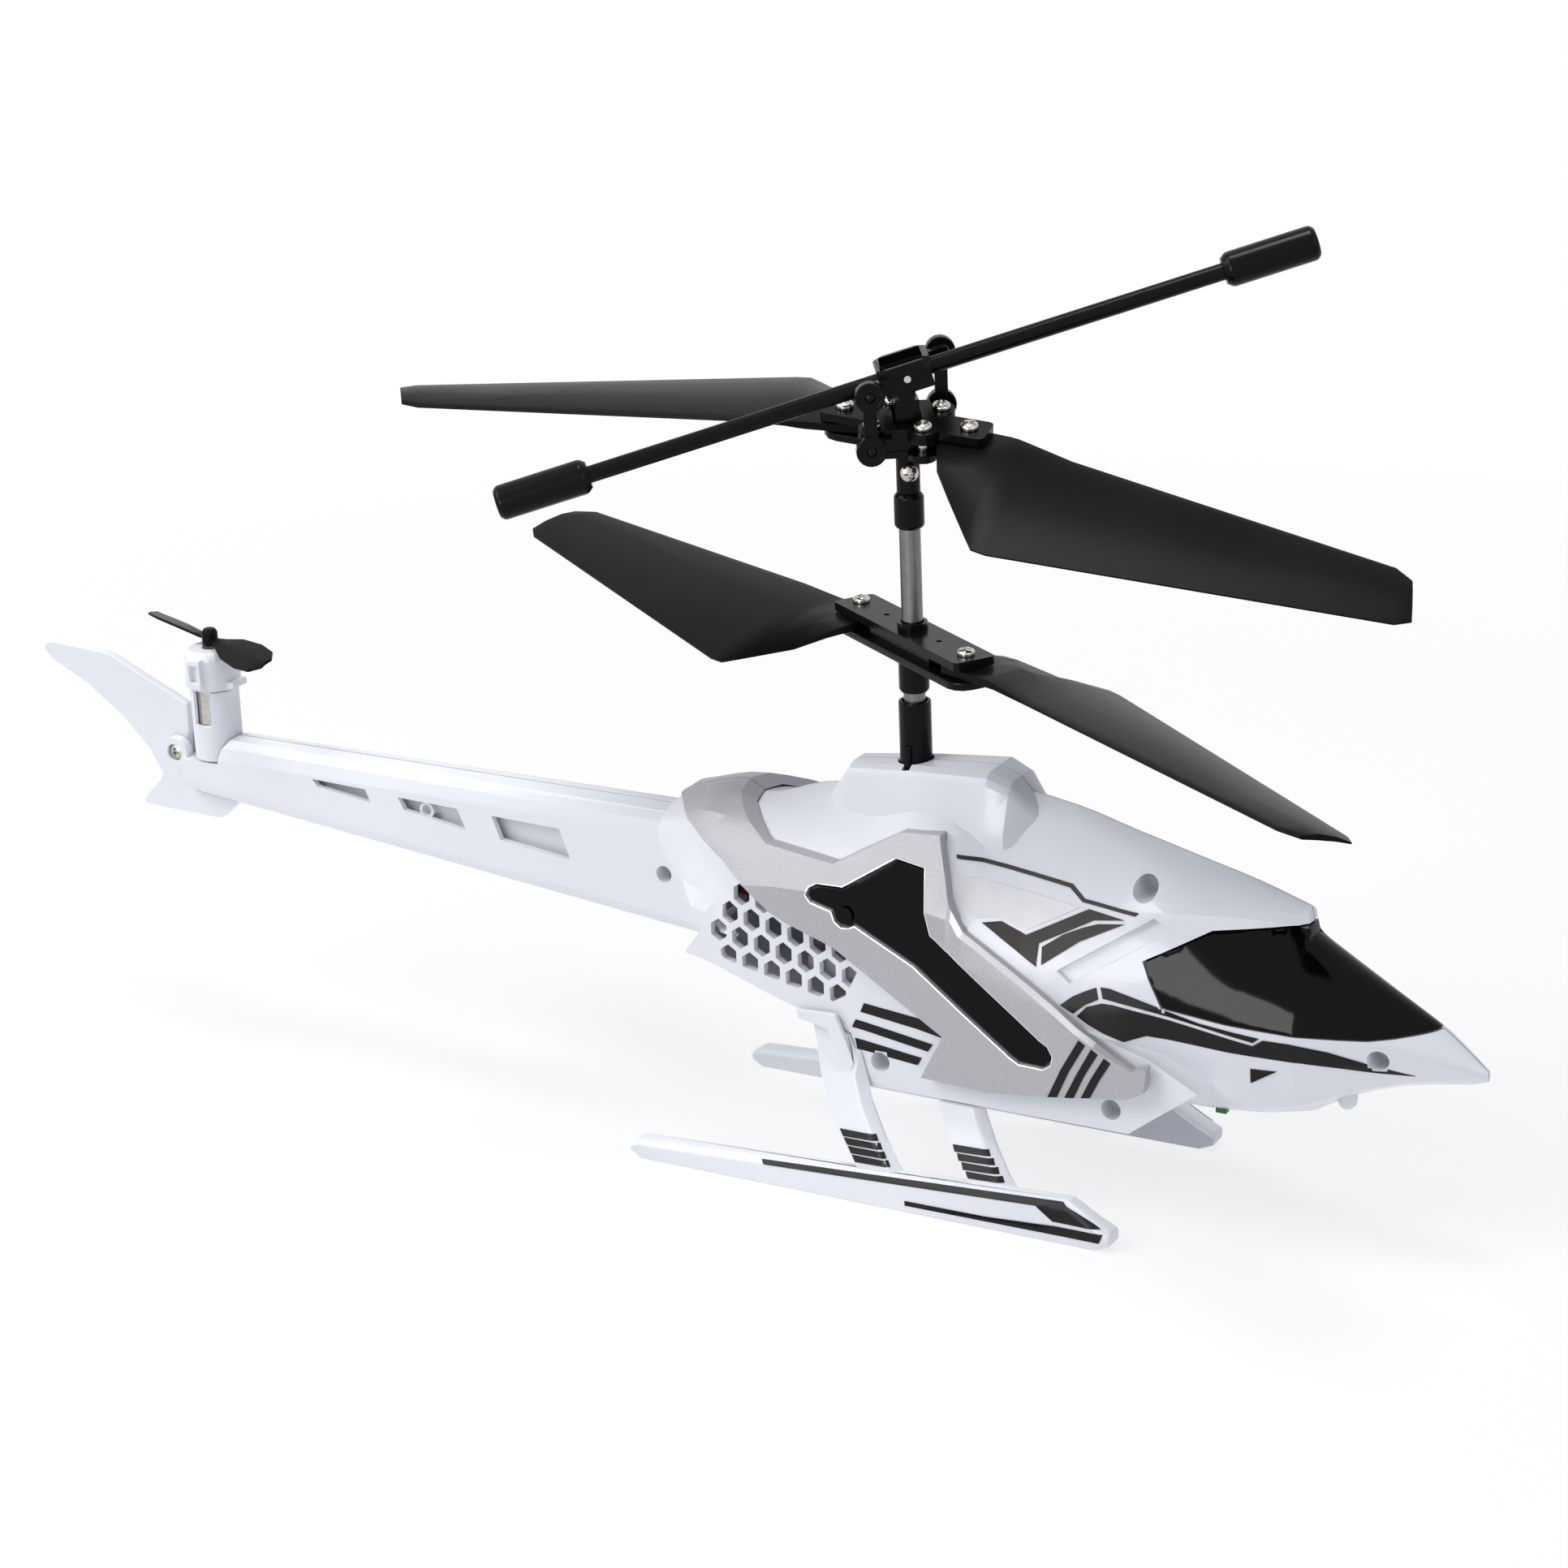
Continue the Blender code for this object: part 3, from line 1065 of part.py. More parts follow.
def make_lower_hub(held_by):
    turn = upright(0, 0, LOWER_BLADE_Z) @ rotation(LOWER_HUB_AZIMUTH, "Z")
    low, high = plate_heights()
    bore = tube_outer() + FIT_GAP
    reach = LOWER_PIVOT_RADIUS + LOWER_BAR_OVERHANG
    base_outline = rounded_bar((-reach - 0.6, 0), (reach + 0.6, 0), LOWER_BAR_HALF_WIDTH + 0.3, 2.6)
    hub = make("lower_hub", prism(base_outline, -high, -low, turn))
    core = LOWER_PIVOT_RADIUS - BLADE_FLAT_RADIUS - 0.9
    add(hub, block((-core, core), (-LOWER_BAR_HALF_WIDTH + 0.9, LOWER_BAR_HALF_WIDTH - 0.9),
                   (-low - 0.3, low - FIT_GAP), turn))
    bottom = LOWER_HUB_BOTTOM_Z - LOWER_BLADE_Z
    add(hub, turned(((0, bottom), (LOWER_SLEEVE_RADIUS - 0.25, bottom), (LOWER_SLEEVE_RADIUS, bottom + 0.4),
                     (LOWER_SLEEVE_RADIUS, -low), (0, -low)), 24, turn))
    cut(hub, rod(bore, bottom - 1, high + 1, 24, turn))
    cap_outline = rounded_bar((-reach, 0), (reach, 0), LOWER_BAR_HALF_WIDTH, 0.7)
    cap = make("lower_hub_cap", prism(cap_outline, low, high, turn))
    add(cap, rod(LOWER_SLEEVE_RADIUS, high - 0.3, high + 1.0, 24, turn))
    cut(cap, rod(bore, low - 1, high + 2, 24, turn))
    for sign in (-1, 1):
        for piece in (hub, cap):
            cut(piece, rod(BLADE_SCREW_RADIUS + FIT_GAP, -high - 1, high + 1, 14,
                           turn @ upright(sign * LOWER_PIVOT_RADIUS, 0)))
        cut(cap, rod(0.45, low - 1, high + 1, 10, turn @ upright(sign * LOWER_PIVOT_RADIUS / 2, 0)))
    finish(hub, black_plastic(), held_by)
    finish(cap, black_plastic(), held_by)
    for name, sign in (("right", 1), ("left", -1)):
        screw = pan_screw("lower_blade_screw_" + name, turn @ upright(sign * LOWER_PIVOT_RADIUS, 0),
                          -high, high + FIT_GAP)
        finish(screw, steel(), held_by)


# Blades

def blade_sections():
    """Chord lines from the blade's root to its tip, as (leading, trailing) points."""
    lead = (Vector(BLADE_LEADING_ROOT), Vector(BLADE_LEADING_TIP))
    trail = (Vector(BLADE_TRAILING_ROOT), Vector(BLADE_TRAILING_TIP))
    end = BLADE_LEADING_ROOT[0] - 0.3
    yield (end, BLADE_LEADING_ROOT[1] + 0.7), (end, 2.8)
    for share, trailing in zip((0.008, 0.045, 0.085, 0.12, 0.14), BLADE_ROOT_EDGE):
        yield tuple(lead[0].lerp(lead[1], share)), trailing
    for front, back in ((0.165, 0.03), (0.26, 0.16), (0.43, 0.36), (0.62, 0.58), (0.81, 0.8), (0.965, 0.96)):
        yield tuple(lead[0].lerp(lead[1], front)), tuple(trail[0].lerp(trail[1], back))
    yield tuple(lead[1].lerp(trail[1], 0.14)), tuple(lead[1].lerp(trail[1], 0.9))


def blade_shape(azimuth, droop, pitch, anticlockwise):
    """Blade about its pivot at the origin: flat at the root, then drooped and pitched."""
    spin = math.copysign(1, anticlockwise - 0.5)
    heading = polar(1, azimuth)
    forward = Vector((-heading.y, heading.x, 0)) * spin
    up = Vector((0, 0, 1))
    flat = Matrix((heading, -forward, up)).transposed()
    angle = math.radians(droop)
    span = heading * math.cos(angle) - up * math.sin(angle)
    normal = span.cross(forward) * spin
    lean = math.radians(pitch)
    lead = forward * math.cos(lean) + normal * math.sin(lean)
    bent = Matrix((span, -lead, span.cross(lead) * spin)).transposed()
    rings = []
    for leading, trailing in blade_sections():
        leading = Vector(leading)
        trailing = Vector(trailing)
        upper = []
        lower = []
        for share, thick in ((0.0, 0.3), (0.07, 0.75), (0.35, 1.0), (0.7, 0.75), (1.0, 0.3)):
            s, t = leading.lerp(trailing, share)
            reach = math.hypot(s, t)
            bend = smooth_step(BLADE_FLAT_RADIUS, BLADE_TWIST_RADIUS, reach)
            depth = BLADE_TAB_THICKNESS + (BLADE_THICKNESS * thick - BLADE_TAB_THICKNESS) * bend
            arch = BLADE_CAMBER * math.sin(math.pi * share) * bend * (trailing - leading).length / 22
            for line, sign in ((upper, 1), (lower, -1)):
                point = Vector((s, t, arch + sign * depth / 2))
                line.append(tuple((flat @ point).lerp(bent @ point, bend)))
        rings.append(upper + lower[::-1])
    return loft(rings)


def make_blade(name, pivot_frame, shape, held_by):
    blade = make(name, moved(shape, pivot_frame))
    cut(blade, rod(BLADE_SCREW_RADIUS + FIT_GAP, -3, 3, 14, pivot_frame))
    return finish(blade, blade_plastic(), held_by)


def lower_pivot(name):
    turn = LOWER_HUB_AZIMUTH if name == "right" else LOWER_HUB_AZIMUTH + 180
    return Matrix.Translation(polar(LOWER_PIVOT_RADIUS, turn, LOWER_BLADE_Z))


# Upper rotor head

def flybar_axis():
    return polar(1, FLYBAR_AZIMUTH)


def head_frame():
    """Upright frame on the mast, X along the flybar."""
    return rotation(FLYBAR_AZIMUTH, "Z")


def grip_frame():
    """Frame of the blade grip at its pin, X along the pin, tilted as it rests."""
    return Matrix.Translation((0, 0, GRIP_Z)) @ head_frame() @ rotation(GRIP_TILT, "X")


def flybar_frame():
    """Frame of the flybar at its pin, X along the rods, tilted as it rests."""
    return Matrix.Translation((0, 0, FLYBAR_Z)) @ head_frame() @ rotation(-FLYBAR_TILT, "Y")


def blade_plane():
    """Height of the blades' mid plane above the grip pin."""
    return -BLADE_TAB_THICKNESS / 2


def upper_pivot(name):
    turn = UPPER_HUB_AZIMUTH - FLYBAR_AZIMUTH
    turn = turn if name == "right" else turn + 180
    return grip_frame() @ Matrix.Translation(polar(UPPER_PIVOT_RADIUS, turn, blade_plane()))


def ball_offset():
    """Distance of the link balls from the grip pin, for the tilts of flybar and grip to agree."""
    return BALL_REACH * math.sin(math.radians(FLYBAR_TILT)) / math.sin(math.radians(GRIP_TILT))


def ball_side():
    """Distance of the upright links from the flybar's plane."""
    return ball_offset() * math.cos(math.radians(GRIP_TILT))


def make_upper_hub(held_by):
    place = head_frame()
    hub = make("upper_hub", turned(((0, COLLAR_TOP_Z + FIT_GAP), (HUB_BOSS_RADIUS, COLLAR_TOP_Z + FIT_GAP),
                                    (HUB_BOSS_RADIUS, GRIP_Z - 2.6), (0, GRIP_Z - 2.6)), 24, place))
    half = COLUMN_HALF_WIDTH
    add(hub, block((-half, half), (-half, half), (GRIP_Z - 3.4, GRIP_Z + 4.2), place))
    corner = TONGUE_HALF_WIDTH * 0.8
    tongue = rounded_bar((0, GRIP_Z + 3.8), (0, FLYBAR_Z + 1.0), TONGUE_HALF_WIDTH, corner, 4)
    add(hub, prism(tongue, -half, half, place @ SIDE_VIEW))
    cut(hub, rod(SHAFT_RADIUS + FIT_GAP, 90, SHAFT_TOP_Z + FIT_GAP, 24, place))
    cut(hub, rod(PIN_RADIUS + FIT_GAP, -9, 9, 12, frame((0, 0, GRIP_Z), (0, 0, 1), flybar_axis())))
    cut(hub, rod(PIN_RADIUS + FIT_GAP, -9, 9, 12, place @ across(0, FLYBAR_Z)))
    set_screw = place @ across(0, COLLAR_TOP_Z + 3.2)
    cut(hub, rod(BLADE_SCREW_RADIUS + FIT_GAP, 0, 9, 12, set_screw))
    finish(hub, black_plastic(), held_by)

    pin = make("grip_pin", rod(PIN_RADIUS, -GRIP_RING_HALF_LENGTH, GRIP_RING_HALF_LENGTH, 12,
                               frame((0, 0, GRIP_Z), (0, 0, 1), flybar_axis())))
    finish(pin, steel(), held_by)
    pin = make("flybar_pin", rod(PIN_RADIUS, -FRAME_BLOCK_HALF_WIDTH, FRAME_BLOCK_HALF_WIDTH, 12,
                                 place @ across(0, FLYBAR_Z)))
    finish(pin, steel(), held_by)
    start = SHAFT_RADIUS + FIT_GAP
    screw = pan_screw("hub_set_screw", set_screw, start, HUB_BOSS_RADIUS + FIT_GAP)
    finish(screw, steel(), held_by)


def make_grip(held_by):
    low, high = plate_heights()
    level = blade_plane()
    plate_low = level + low
    plate_high = level + high
    ring_top = plate_high + 0.4
    base_top = level - low
    opening_x = COLUMN_HALF_WIDTH + RUN_GAP
    tilt = math.tan(math.radians(GRIP_TILT))
    opening_y = COLUMN_HALF_WIDTH / math.cos(math.radians(GRIP_TILT)) + (high + 0.6) * tilt + RUN_GAP
    arm_turn = UPPER_HUB_AZIMUTH - FLYBAR_AZIMUTH
    reach = UPPER_PIVOT_RADIUS
    ring = ((-GRIP_RING_HALF_LENGTH, GRIP_RING_HALF_LENGTH), (-GRIP_RING_HALF_WIDTH, GRIP_RING_HALF_WIDTH))
    opening = ((-opening_x, opening_x), (-opening_y, opening_y))
    tab_clear = BLADE_FLAT_RADIUS - 0.4

    grip = make("upper_grip", block(*ring, (base_top + FIT_GAP, ring_top)))
    base = make("grip_base", block(*ring, (base_top - PLATE_THICKNESS, base_top)))
    for sign in (1, -1):
        turn = rotation(arm_turn + (0 if sign > 0 else 180), "Z")
        arm = rounded_bar((1.0, 0), (reach + 2.8, 0), GRIP_ARM_HALF_WIDTH, 0.8)
        add(grip, prism(arm, plate_low, plate_high, turn))
        lobe = rounded_bar((1.0, 0), (reach + 2.8, 0), GRIP_BASE_HALF_WIDTH, 2.5)
        add(base, prism(lobe, base_top - PLATE_THICKNESS, base_top, turn))
        spot = Vector(GRIP_SCREW_SPOT) * sign
        add(grip, rod(GRIP_SCREW_LOBE, plate_low, ring_top, 18, upright(*spot)))
        add(base, rod(GRIP_SCREW_LOBE, base_top - PLATE_THICKNESS, base_top, 18, upright(*spot)))
        ear = Vector(GRIP_EAR_SPOT) * sign
        add(grip, rod(GRIP_EAR_RADIUS, plate_low, plate_high, 16, upright(*ear)))
        stud_x = BALL_REACH * math.cos(math.radians(FLYBAR_TILT))
        stud_root = ball_offset() - LINK_THICKNESS / 2 - SEAT_GAP
        half_turn = rotation(0 if sign > 0 else 180, "Z")
        add(grip, block((GRIP_RING_HALF_LENGTH - 1.2, stud_x + 1.2), (stud_root - 2.2, stud_root),
                        (-0.9, 0.9), half_turn))
        stud = half_turn @ frame((stud_x, 0, 0), (1, 0, 0), (0, 1, 0))
        add(grip, rod(STUD_RADIUS, stud_root - 0.5, ball_offset(), 12, stud))
        add(grip, ball(BALL_RADIUS, ball_offset(), 12, stud @ rotation(15, "Z")))
        cut(grip, rod(tab_clear, level - 2, plate_low - 0.02, 20, turn @ upright(reach, 0)))
        for piece in (grip, base):
            cut(piece, rod(BLADE_SCREW_RADIUS + FIT_GAP, -8, 8, 14, turn @ upright(reach, 0)))
            cut(piece, rod(BLADE_SCREW_RADIUS + FIT_GAP, -8, 8, 14, upright(*spot)))
    cut(grip, block(*opening, (-8, 8)))
    cut(base, block(*opening, (-8, 8)))
    cut(grip, rod(PIN_RADIUS + FIT_GAP, -9, 9, 12, frame((0, 0, 0), (0, 0, 1), (1, 0, 0))))
    grip.data.transform(grip_frame())
    base.data.transform(grip_frame())
    finish(grip, black_plastic(), held_by)
    finish(base, black_plastic(), held_by)

    for name, sign in (("right", 1), ("left", -1)):
        spot = Vector(GRIP_SCREW_SPOT) * sign
        screw = pan_screw("grip_screw_" + name, grip_frame() @ upright(*spot), base_top - PLATE_THICKNESS,
                          ring_top + FIT_GAP)
        finish(screw, steel(), held_by)
        screw = pan_screw("upper_blade_screw_" + name, upper_pivot(name), -high, high + FIT_GAP)
        finish(screw, steel(), held_by)


def make_flybar(held_by):
    wall_low = 2.35
    length, width = FRAME_HALF_LENGTH, FRAME_HALF_WIDTH
    flange = []
    for x, y, first in ((1, 1, 1), (-1, 1, 0), (-1, -1, 1), (1, -1, 0)):
        corners = [(x * length, y * (width - 1.3)), (x * (length - 1.3), y * width)]
        flange += corners if first else corners[::-1]
    body = make("flybar_frame", prism(flange, 0.9, 2.3))
    block_half = FRAME_BLOCK_HALF_WIDTH
    add(body, block((0.4 - length, length - 0.4), (-block_half, block_half), (-2.0, 1.0)))
    stud_root = ball_side() - LINK_THICKNESS / 2 - SEAT_GAP
    for turn in (0, 180):
        half_turn = rotation(turn, "Z")
        add(body, block((FRAME_HALF_LENGTH - 1.4, BALL_REACH + 1.1), (stud_root - 1.9, stud_root),
                        (-1.0, 1.1), half_turn))
        stud = half_turn @ frame((BALL_REACH, 0, 0), (1, 0, 0), (0, 1, 0))
        add(body, rod(STUD_RADIUS, stud_root - 0.5, ball_side(), 12, stud))
        add(body, ball(BALL_RADIUS, ball_side(), 12, stud @ rotation(15, "Z")))
    slot_half = COLUMN_HALF_WIDTH + RUN_GAP
    cut(body, block((-wall_low, wall_low), (-slot_half, slot_half), (-8, 8)))
    cut(body, rod(FLYBAR_ROD_RADIUS + FIT_GAP, -9, 9, 16, frame((0, 0, 0), (0, 0, 1), (1, 0, 0))))
    cut(body, rod(PIN_RADIUS + FIT_GAP, -9, 9, 12, SIDE_VIEW))
    body.data.transform(flybar_frame())
    finish(body, black_plastic(), held_by)

    for name, sign in (("right", 1), ("left", -1)):
        arm = flybar_frame() @ frame((0, 0, 0), (0, 0, 1), (sign, 0, 0))
        rod_end = FLYBAR_HALF_LENGTH - 1.6
        bar = make("flybar_rod_" + name, rod(FLYBAR_ROD_RADIUS, wall_low + 0.2, rod_end, 16, arm))
        finish(bar, black_plastic(), held_by)
        inner = FLYBAR_HALF_LENGTH - WEIGHT_LENGTH
        bore = FLYBAR_ROD_RADIUS + FIT_GAP
        end = FLYBAR_HALF_LENGTH
        profile = ((bore, inner), (bore + 0.5, inner), (WEIGHT_RADIUS, inner + 0.8),
                   (WEIGHT_RADIUS, end - 0.5), (WEIGHT_RADIUS - 0.5, end), (0, end),
                   (0, rod_end + FIT_GAP), (bore, rod_end + FIT_GAP))
        weight = make("flybar_weight_" + name, turned(profile, 20, arm, ring=True))
        finish(weight, black_plastic(), held_by)


def link_ball(sign):
    """Centre of the flybar's ball for one link."""
    return flybar_frame() @ Vector((sign * BALL_REACH, sign * ball_side(), 0))


def make_link(name, sign, held_by):
    drop = FLYBAR_Z - GRIP_Z
    place = Matrix.Translation(link_ball(sign)) @ head_frame() @ SIDE_VIEW
    half = LINK_THICKNESS / 2
    link = make("link_" + name, rod(LINK_EYE_RADIUS, -half, half, 20, place))
    add(link, rod(LINK_EYE_RADIUS, -half, half, 20, place @ upright(0, -drop)))
    add(link, block((-0.9, 0.9), (-drop, 0), (-half * 0.75, half * 0.75), place))
    for height in (0, -drop):
        cut(link, rod(LINK_EYE_BORE, -5, 5, 16, place @ upright(0, height)))
    return finish(link, black_plastic(), held_by)


# Drive and electrics

def motor_x():
    """Distance ahead of the mast at which the pinions mesh with the main gears."""
    spacing = GEAR_MODULE * (GEAR_TEETH + PINION_TEETH) / 2
    return math.sqrt(spacing ** 2 - MOTOR_HALF_SPREAD ** 2)


def gear_turn(side):
    return math.degrees(math.atan2(side * MOTOR_HALF_SPREAD, motor_x()))


def make_gear(name, z, bore, side, held_by):
    turn = upright(0, 0, z) @ rotation(gear_turn(side), "Z")
    gear = make(name, prism(gear_outline(GEAR_TEETH, 1.0), 0, GEAR_THICKNESS, turn))
    add(gear, rod(bore + 1.0, -0.8, GEAR_THICKNESS, 16, turn))
    cut(gear, rod(bore, -2, GEAR_THICKNESS + 2, 16, turn))
    return finish(gear, gear_plastic(), held_by)


def make_pinion(name, z, side, held_by):
    half_tooth = 180 / PINION_TEETH
    turn = upright(motor_x(), side * MOTOR_HALF_SPREAD, z) @ rotation(gear_turn(side) + 180 + half_tooth, "Z")
    pinion = make(name, prism(gear_outline(PINION_TEETH, 0.9), -0.2, GEAR_THICKNESS + 0.2, turn))
    cut(pinion, rod(MOTOR_SHAFT_RADIUS + FIT_GAP, -3, GEAR_THICKNESS + 3, 12, turn))
    return finish(pinion, gear_plastic(), held_by)


def make_drive(root):
    floor_top = FRAME_FLOOR_Z + FRAME_FLOOR_THICKNESS
    half = BODY_HALF_WIDTH - BODY_WALL - SEAT_GAP - 0.3
    rear = -GEAR_MODULE * GEAR_TEETH / 2 - 2.2
    front = motor_x() + MOTOR_RADIUS + 1.6
    chassis = make("gearbox_frame", block((rear, front), (-half, half), (FRAME_FLOOR_Z, floor_top)))
    add(chassis, block((rear, rear + 1.2), (-6, 6), (FRAME_FLOOR_Z, FRAME_ROOF_Z + FRAME_ROOF_THICKNESS)))
    add(chassis, block((rear, 5.0), (-6, 6), (FRAME_ROOF_Z, FRAME_ROOF_Z + FRAME_ROOF_THICKNESS)))
    shelf_half = BATTERY_SIZE[1] / 2 + 0.6
    add(chassis, block((front - 1, BATTERY_FRONT_X), (-shelf_half, shelf_half), (floor_top - 1.6, floor_top)))
    cut(chassis, rod(tube_outer() + RUN_GAP, FRAME_ROOF_Z - 2, FRAME_ROOF_Z + 5, 16))
    cut(chassis, rod(SHAFT_RADIUS + RUN_GAP, SHAFT_BOTTOM_Z - FIT_GAP, floor_top + 1, 16))
    for side in SIDES.values():
        cut(chassis, rod(MOTOR_RADIUS + FIT_GAP, FRAME_FLOOR_Z - 2, floor_top + 2, 16,
                         upright(motor_x(), side * MOTOR_HALF_SPREAD)))
    finish(chassis, black_plastic(), root)

    for name, gear_z in (("right", UPPER_GEAR_Z), ("left", LOWER_GEAR_Z)):
        place = upright(motor_x(), SIDES[name] * MOTOR_HALF_SPREAD)
        motor = make(name + "_motor", turned(((0, MOTOR_BOTTOM_Z), (MOTOR_RADIUS, MOTOR_BOTTOM_Z),
                                              (MOTOR_RADIUS, floor_top + 0.8), (1.2, floor_top + 0.8),
                                              (1.2, floor_top + 1.4), (MOTOR_SHAFT_RADIUS, floor_top + 1.4),
                                              (MOTOR_SHAFT_RADIUS, gear_z + GEAR_THICKNESS + 0.6),
                                              (0, gear_z + GEAR_THICKNESS + 0.6)), 16, place))
        finish(motor, steel(), root)


def make_electrics(root, switch_carrier):
    length, width, height = BATTERY_SIZE
    floor_top = FRAME_FLOOR_Z + FRAME_FLOOR_THICKNESS
    outline = rounded_bar((BATTERY_FRONT_X - length, 0), (BATTERY_FRONT_X, 0), width / 2, 1.5)
    battery = make("battery", prism(outline, floor_top + SEAT_GAP, floor_top + SEAT_GAP + height))
    finish(battery, material("battery_wrap", (0.7, 0.72, 0.76), 0.35, 0.4), root)

    board = make("circuit_board", block((40.0, 58.0), (-4.2, 4.2), (BOARD_Z, BOARD_Z + BOARD_THICKNESS)))
    add(board, block((45.6, 47.2), (-0.6, 0.6), (14.8, BOARD_Z + 0.5)))
    finish(board, material("circuit_board", (0.03, 0.22, 0.08), 0.4), root)

    lamp = upright(LED_X, 0)
    dome = [(LED_RADIUS * math.sin(math.radians(a)), LED_TIP_Z + LED_RADIUS * (1 - math.cos(math.radians(a))))
            for a in (30, 60, 90)]
    led = make("nose_led", turned([(0, LED_TIP_Z)] + dome + [(LED_RADIUS, 24.0), (0, 24.0)], 16, lamp))
    finish(led, material("clear_lamp", (0.9, 0.92, 0.95), 0.05), root)

    low = KEEL_Z + BODY_WALL + SEAT_GAP
    slot = (SWITCH_X - 2.6, SWITCH_X + 2.6 + SWITCH_TRAVEL)
    housing = make("switch_housing", block((slot[0] - 1.9, slot[1] + 1.9), (-2.2, 2.2), (low, low + 4.0)))
    cut(housing, block(slot, (-1.2, 1.2), (low - 1, low + 2.2)))
    finish(housing, black_plastic(), root)
    half = (SWITCH_X - 2.2, SWITCH_X + 2.2)
    slider = make("switch_slider", block(half, (-0.9, 0.9), (KEEL_Z + 0.4, low + 1.9)))
    add(slider, block((SWITCH_X - 1.0, SWITCH_X + 1.0), (-0.9, 0.9), (KEEL_Z - 0.9, KEEL_Z + 1.0)))
    finish(slider, black_plastic(), switch_carrier)

    wire = bpy.data.curves.new("tail_motor_wire", "CURVE")
    wire.dimensions = "3D"
    wire.bevel_depth = WIRE_RADIUS * MM
    wire.bevel_resolution = 1
    wire.use_fill_caps = True
    spline = wire.splines.new("POLY")
    spline.points.add(len(WIRE_ROUTE) - 1)
    for point, spot in zip(spline.points, WIRE_ROUTE):
        point.co = (*(Vector(spot) * MM), 1.0)
    cable = bpy.data.objects.new("tail_motor_wire", wire)
    bpy.context.collection.objects.link(cable)
    cable.data.materials.append(material("red_wire", (0.5, 0.02, 0.03), 0.4))
    cable.parent = root.empty


def carrier(name, pivot=(0, 0, 0), parent=None):
    """Empty on a joint axis; the pieces that it carries keep their places in the model."""
    made = bpy.data.objects.new(name, None)
    made.empty_display_size = 5 * MM
    bpy.context.collection.objects.link(made)
    pivot = Vector(pivot)
    if parent is not None:
        made.parent = parent.empty
        made.location = (pivot - parent.pivot) * MM
    return Carrier(made, pivot)


def main():
    clear_scene()
    airframe = carrier("airframe")
    airframe.empty.location.x = -(NOSE_X + TAIL_X) / 2 * MM
    lower_rotor = carrier("lower_rotor", (0, 0, LOWER_BLADE_Z), airframe)
    upper_rotor = carrier("upper_rotor", (0, 0, GRIP_Z), airframe)
    grip = carrier("grip", (0, 0, GRIP_Z), upper_rotor)
    flybar = carrier("flybar", (0, 0, FLYBAR_Z), upper_rotor)
    tail_rotor = carrier("tail_rotor_axis", (TAIL_MOTOR_X, 0, tail_rotor_z()), airframe)
    switch = carrier("power_switch", (SWITCH_X, 0, KEEL_Z), airframe)

    for name in SIDES:
        make_shell(name, airframe)
        make_side_panel(name, airframe)
        make_boom(name, airframe)
        make_skid(name, airframe)
    make_window(airframe)
    make_tail(airframe)
    make_tail_rotor(tail_rotor)
    make_mast(airframe, lower_rotor, upper_rotor)
    make_lower_hub(lower_rotor)
    make_upper_hub(upper_rotor)
    make_grip(grip)
    make_flybar(flybar)
    for name, sign in (("right", 1), ("left", -1)):
        fold = carrier("lower_fold_" + name, lower_pivot(name).translation, lower_rotor)
        azimuth, droop = LOWER_BLADES[name]
        make_blade("lower_blade_" + name, lower_pivot(name),
                   blade_shape(azimuth, droop, LOWER_BLADE_PITCH, False), fold)
        fold = carrier("upper_fold_" + name, upper_pivot(name).translation, grip)
        azimuth, droop = UPPER_BLADES[name]
        make_blade("upper_blade_" + name, upper_pivot(name),
                   blade_shape(azimuth - FLYBAR_AZIMUTH, droop, UPPER_BLADE_PITCH, True), fold)
        make_link(name, sign, carrier("link_pivot_" + name, link_ball(sign), flybar))

    make_drive(airframe)
    make_gear("upper_rotor_gear", UPPER_GEAR_Z, SHAFT_RADIUS + FIT_GAP, SIDES["right"], upper_rotor)
    make_gear("lower_rotor_gear", LOWER_GEAR_Z, tube_outer() + FIT_GAP, SIDES["left"], lower_rotor)
    for name, gear_z in (("right", UPPER_GEAR_Z), ("left", LOWER_GEAR_Z)):
        side = SIDES[name]
        spin = carrier(name + "_pinion_axis", (motor_x(), side * MOTOR_HALF_SPREAD, gear_z), airframe)
        make_pinion(name + "_pinion", gear_z, side, spin)
    make_electrics(airframe, switch)


main()
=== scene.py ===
"""Looks of a toy helicopter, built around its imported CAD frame."""
import json
import math

import bmesh
import bpy
import numpy as np
from mathutils import Matrix, Vector
from mathutils.bvhtree import BVHTree

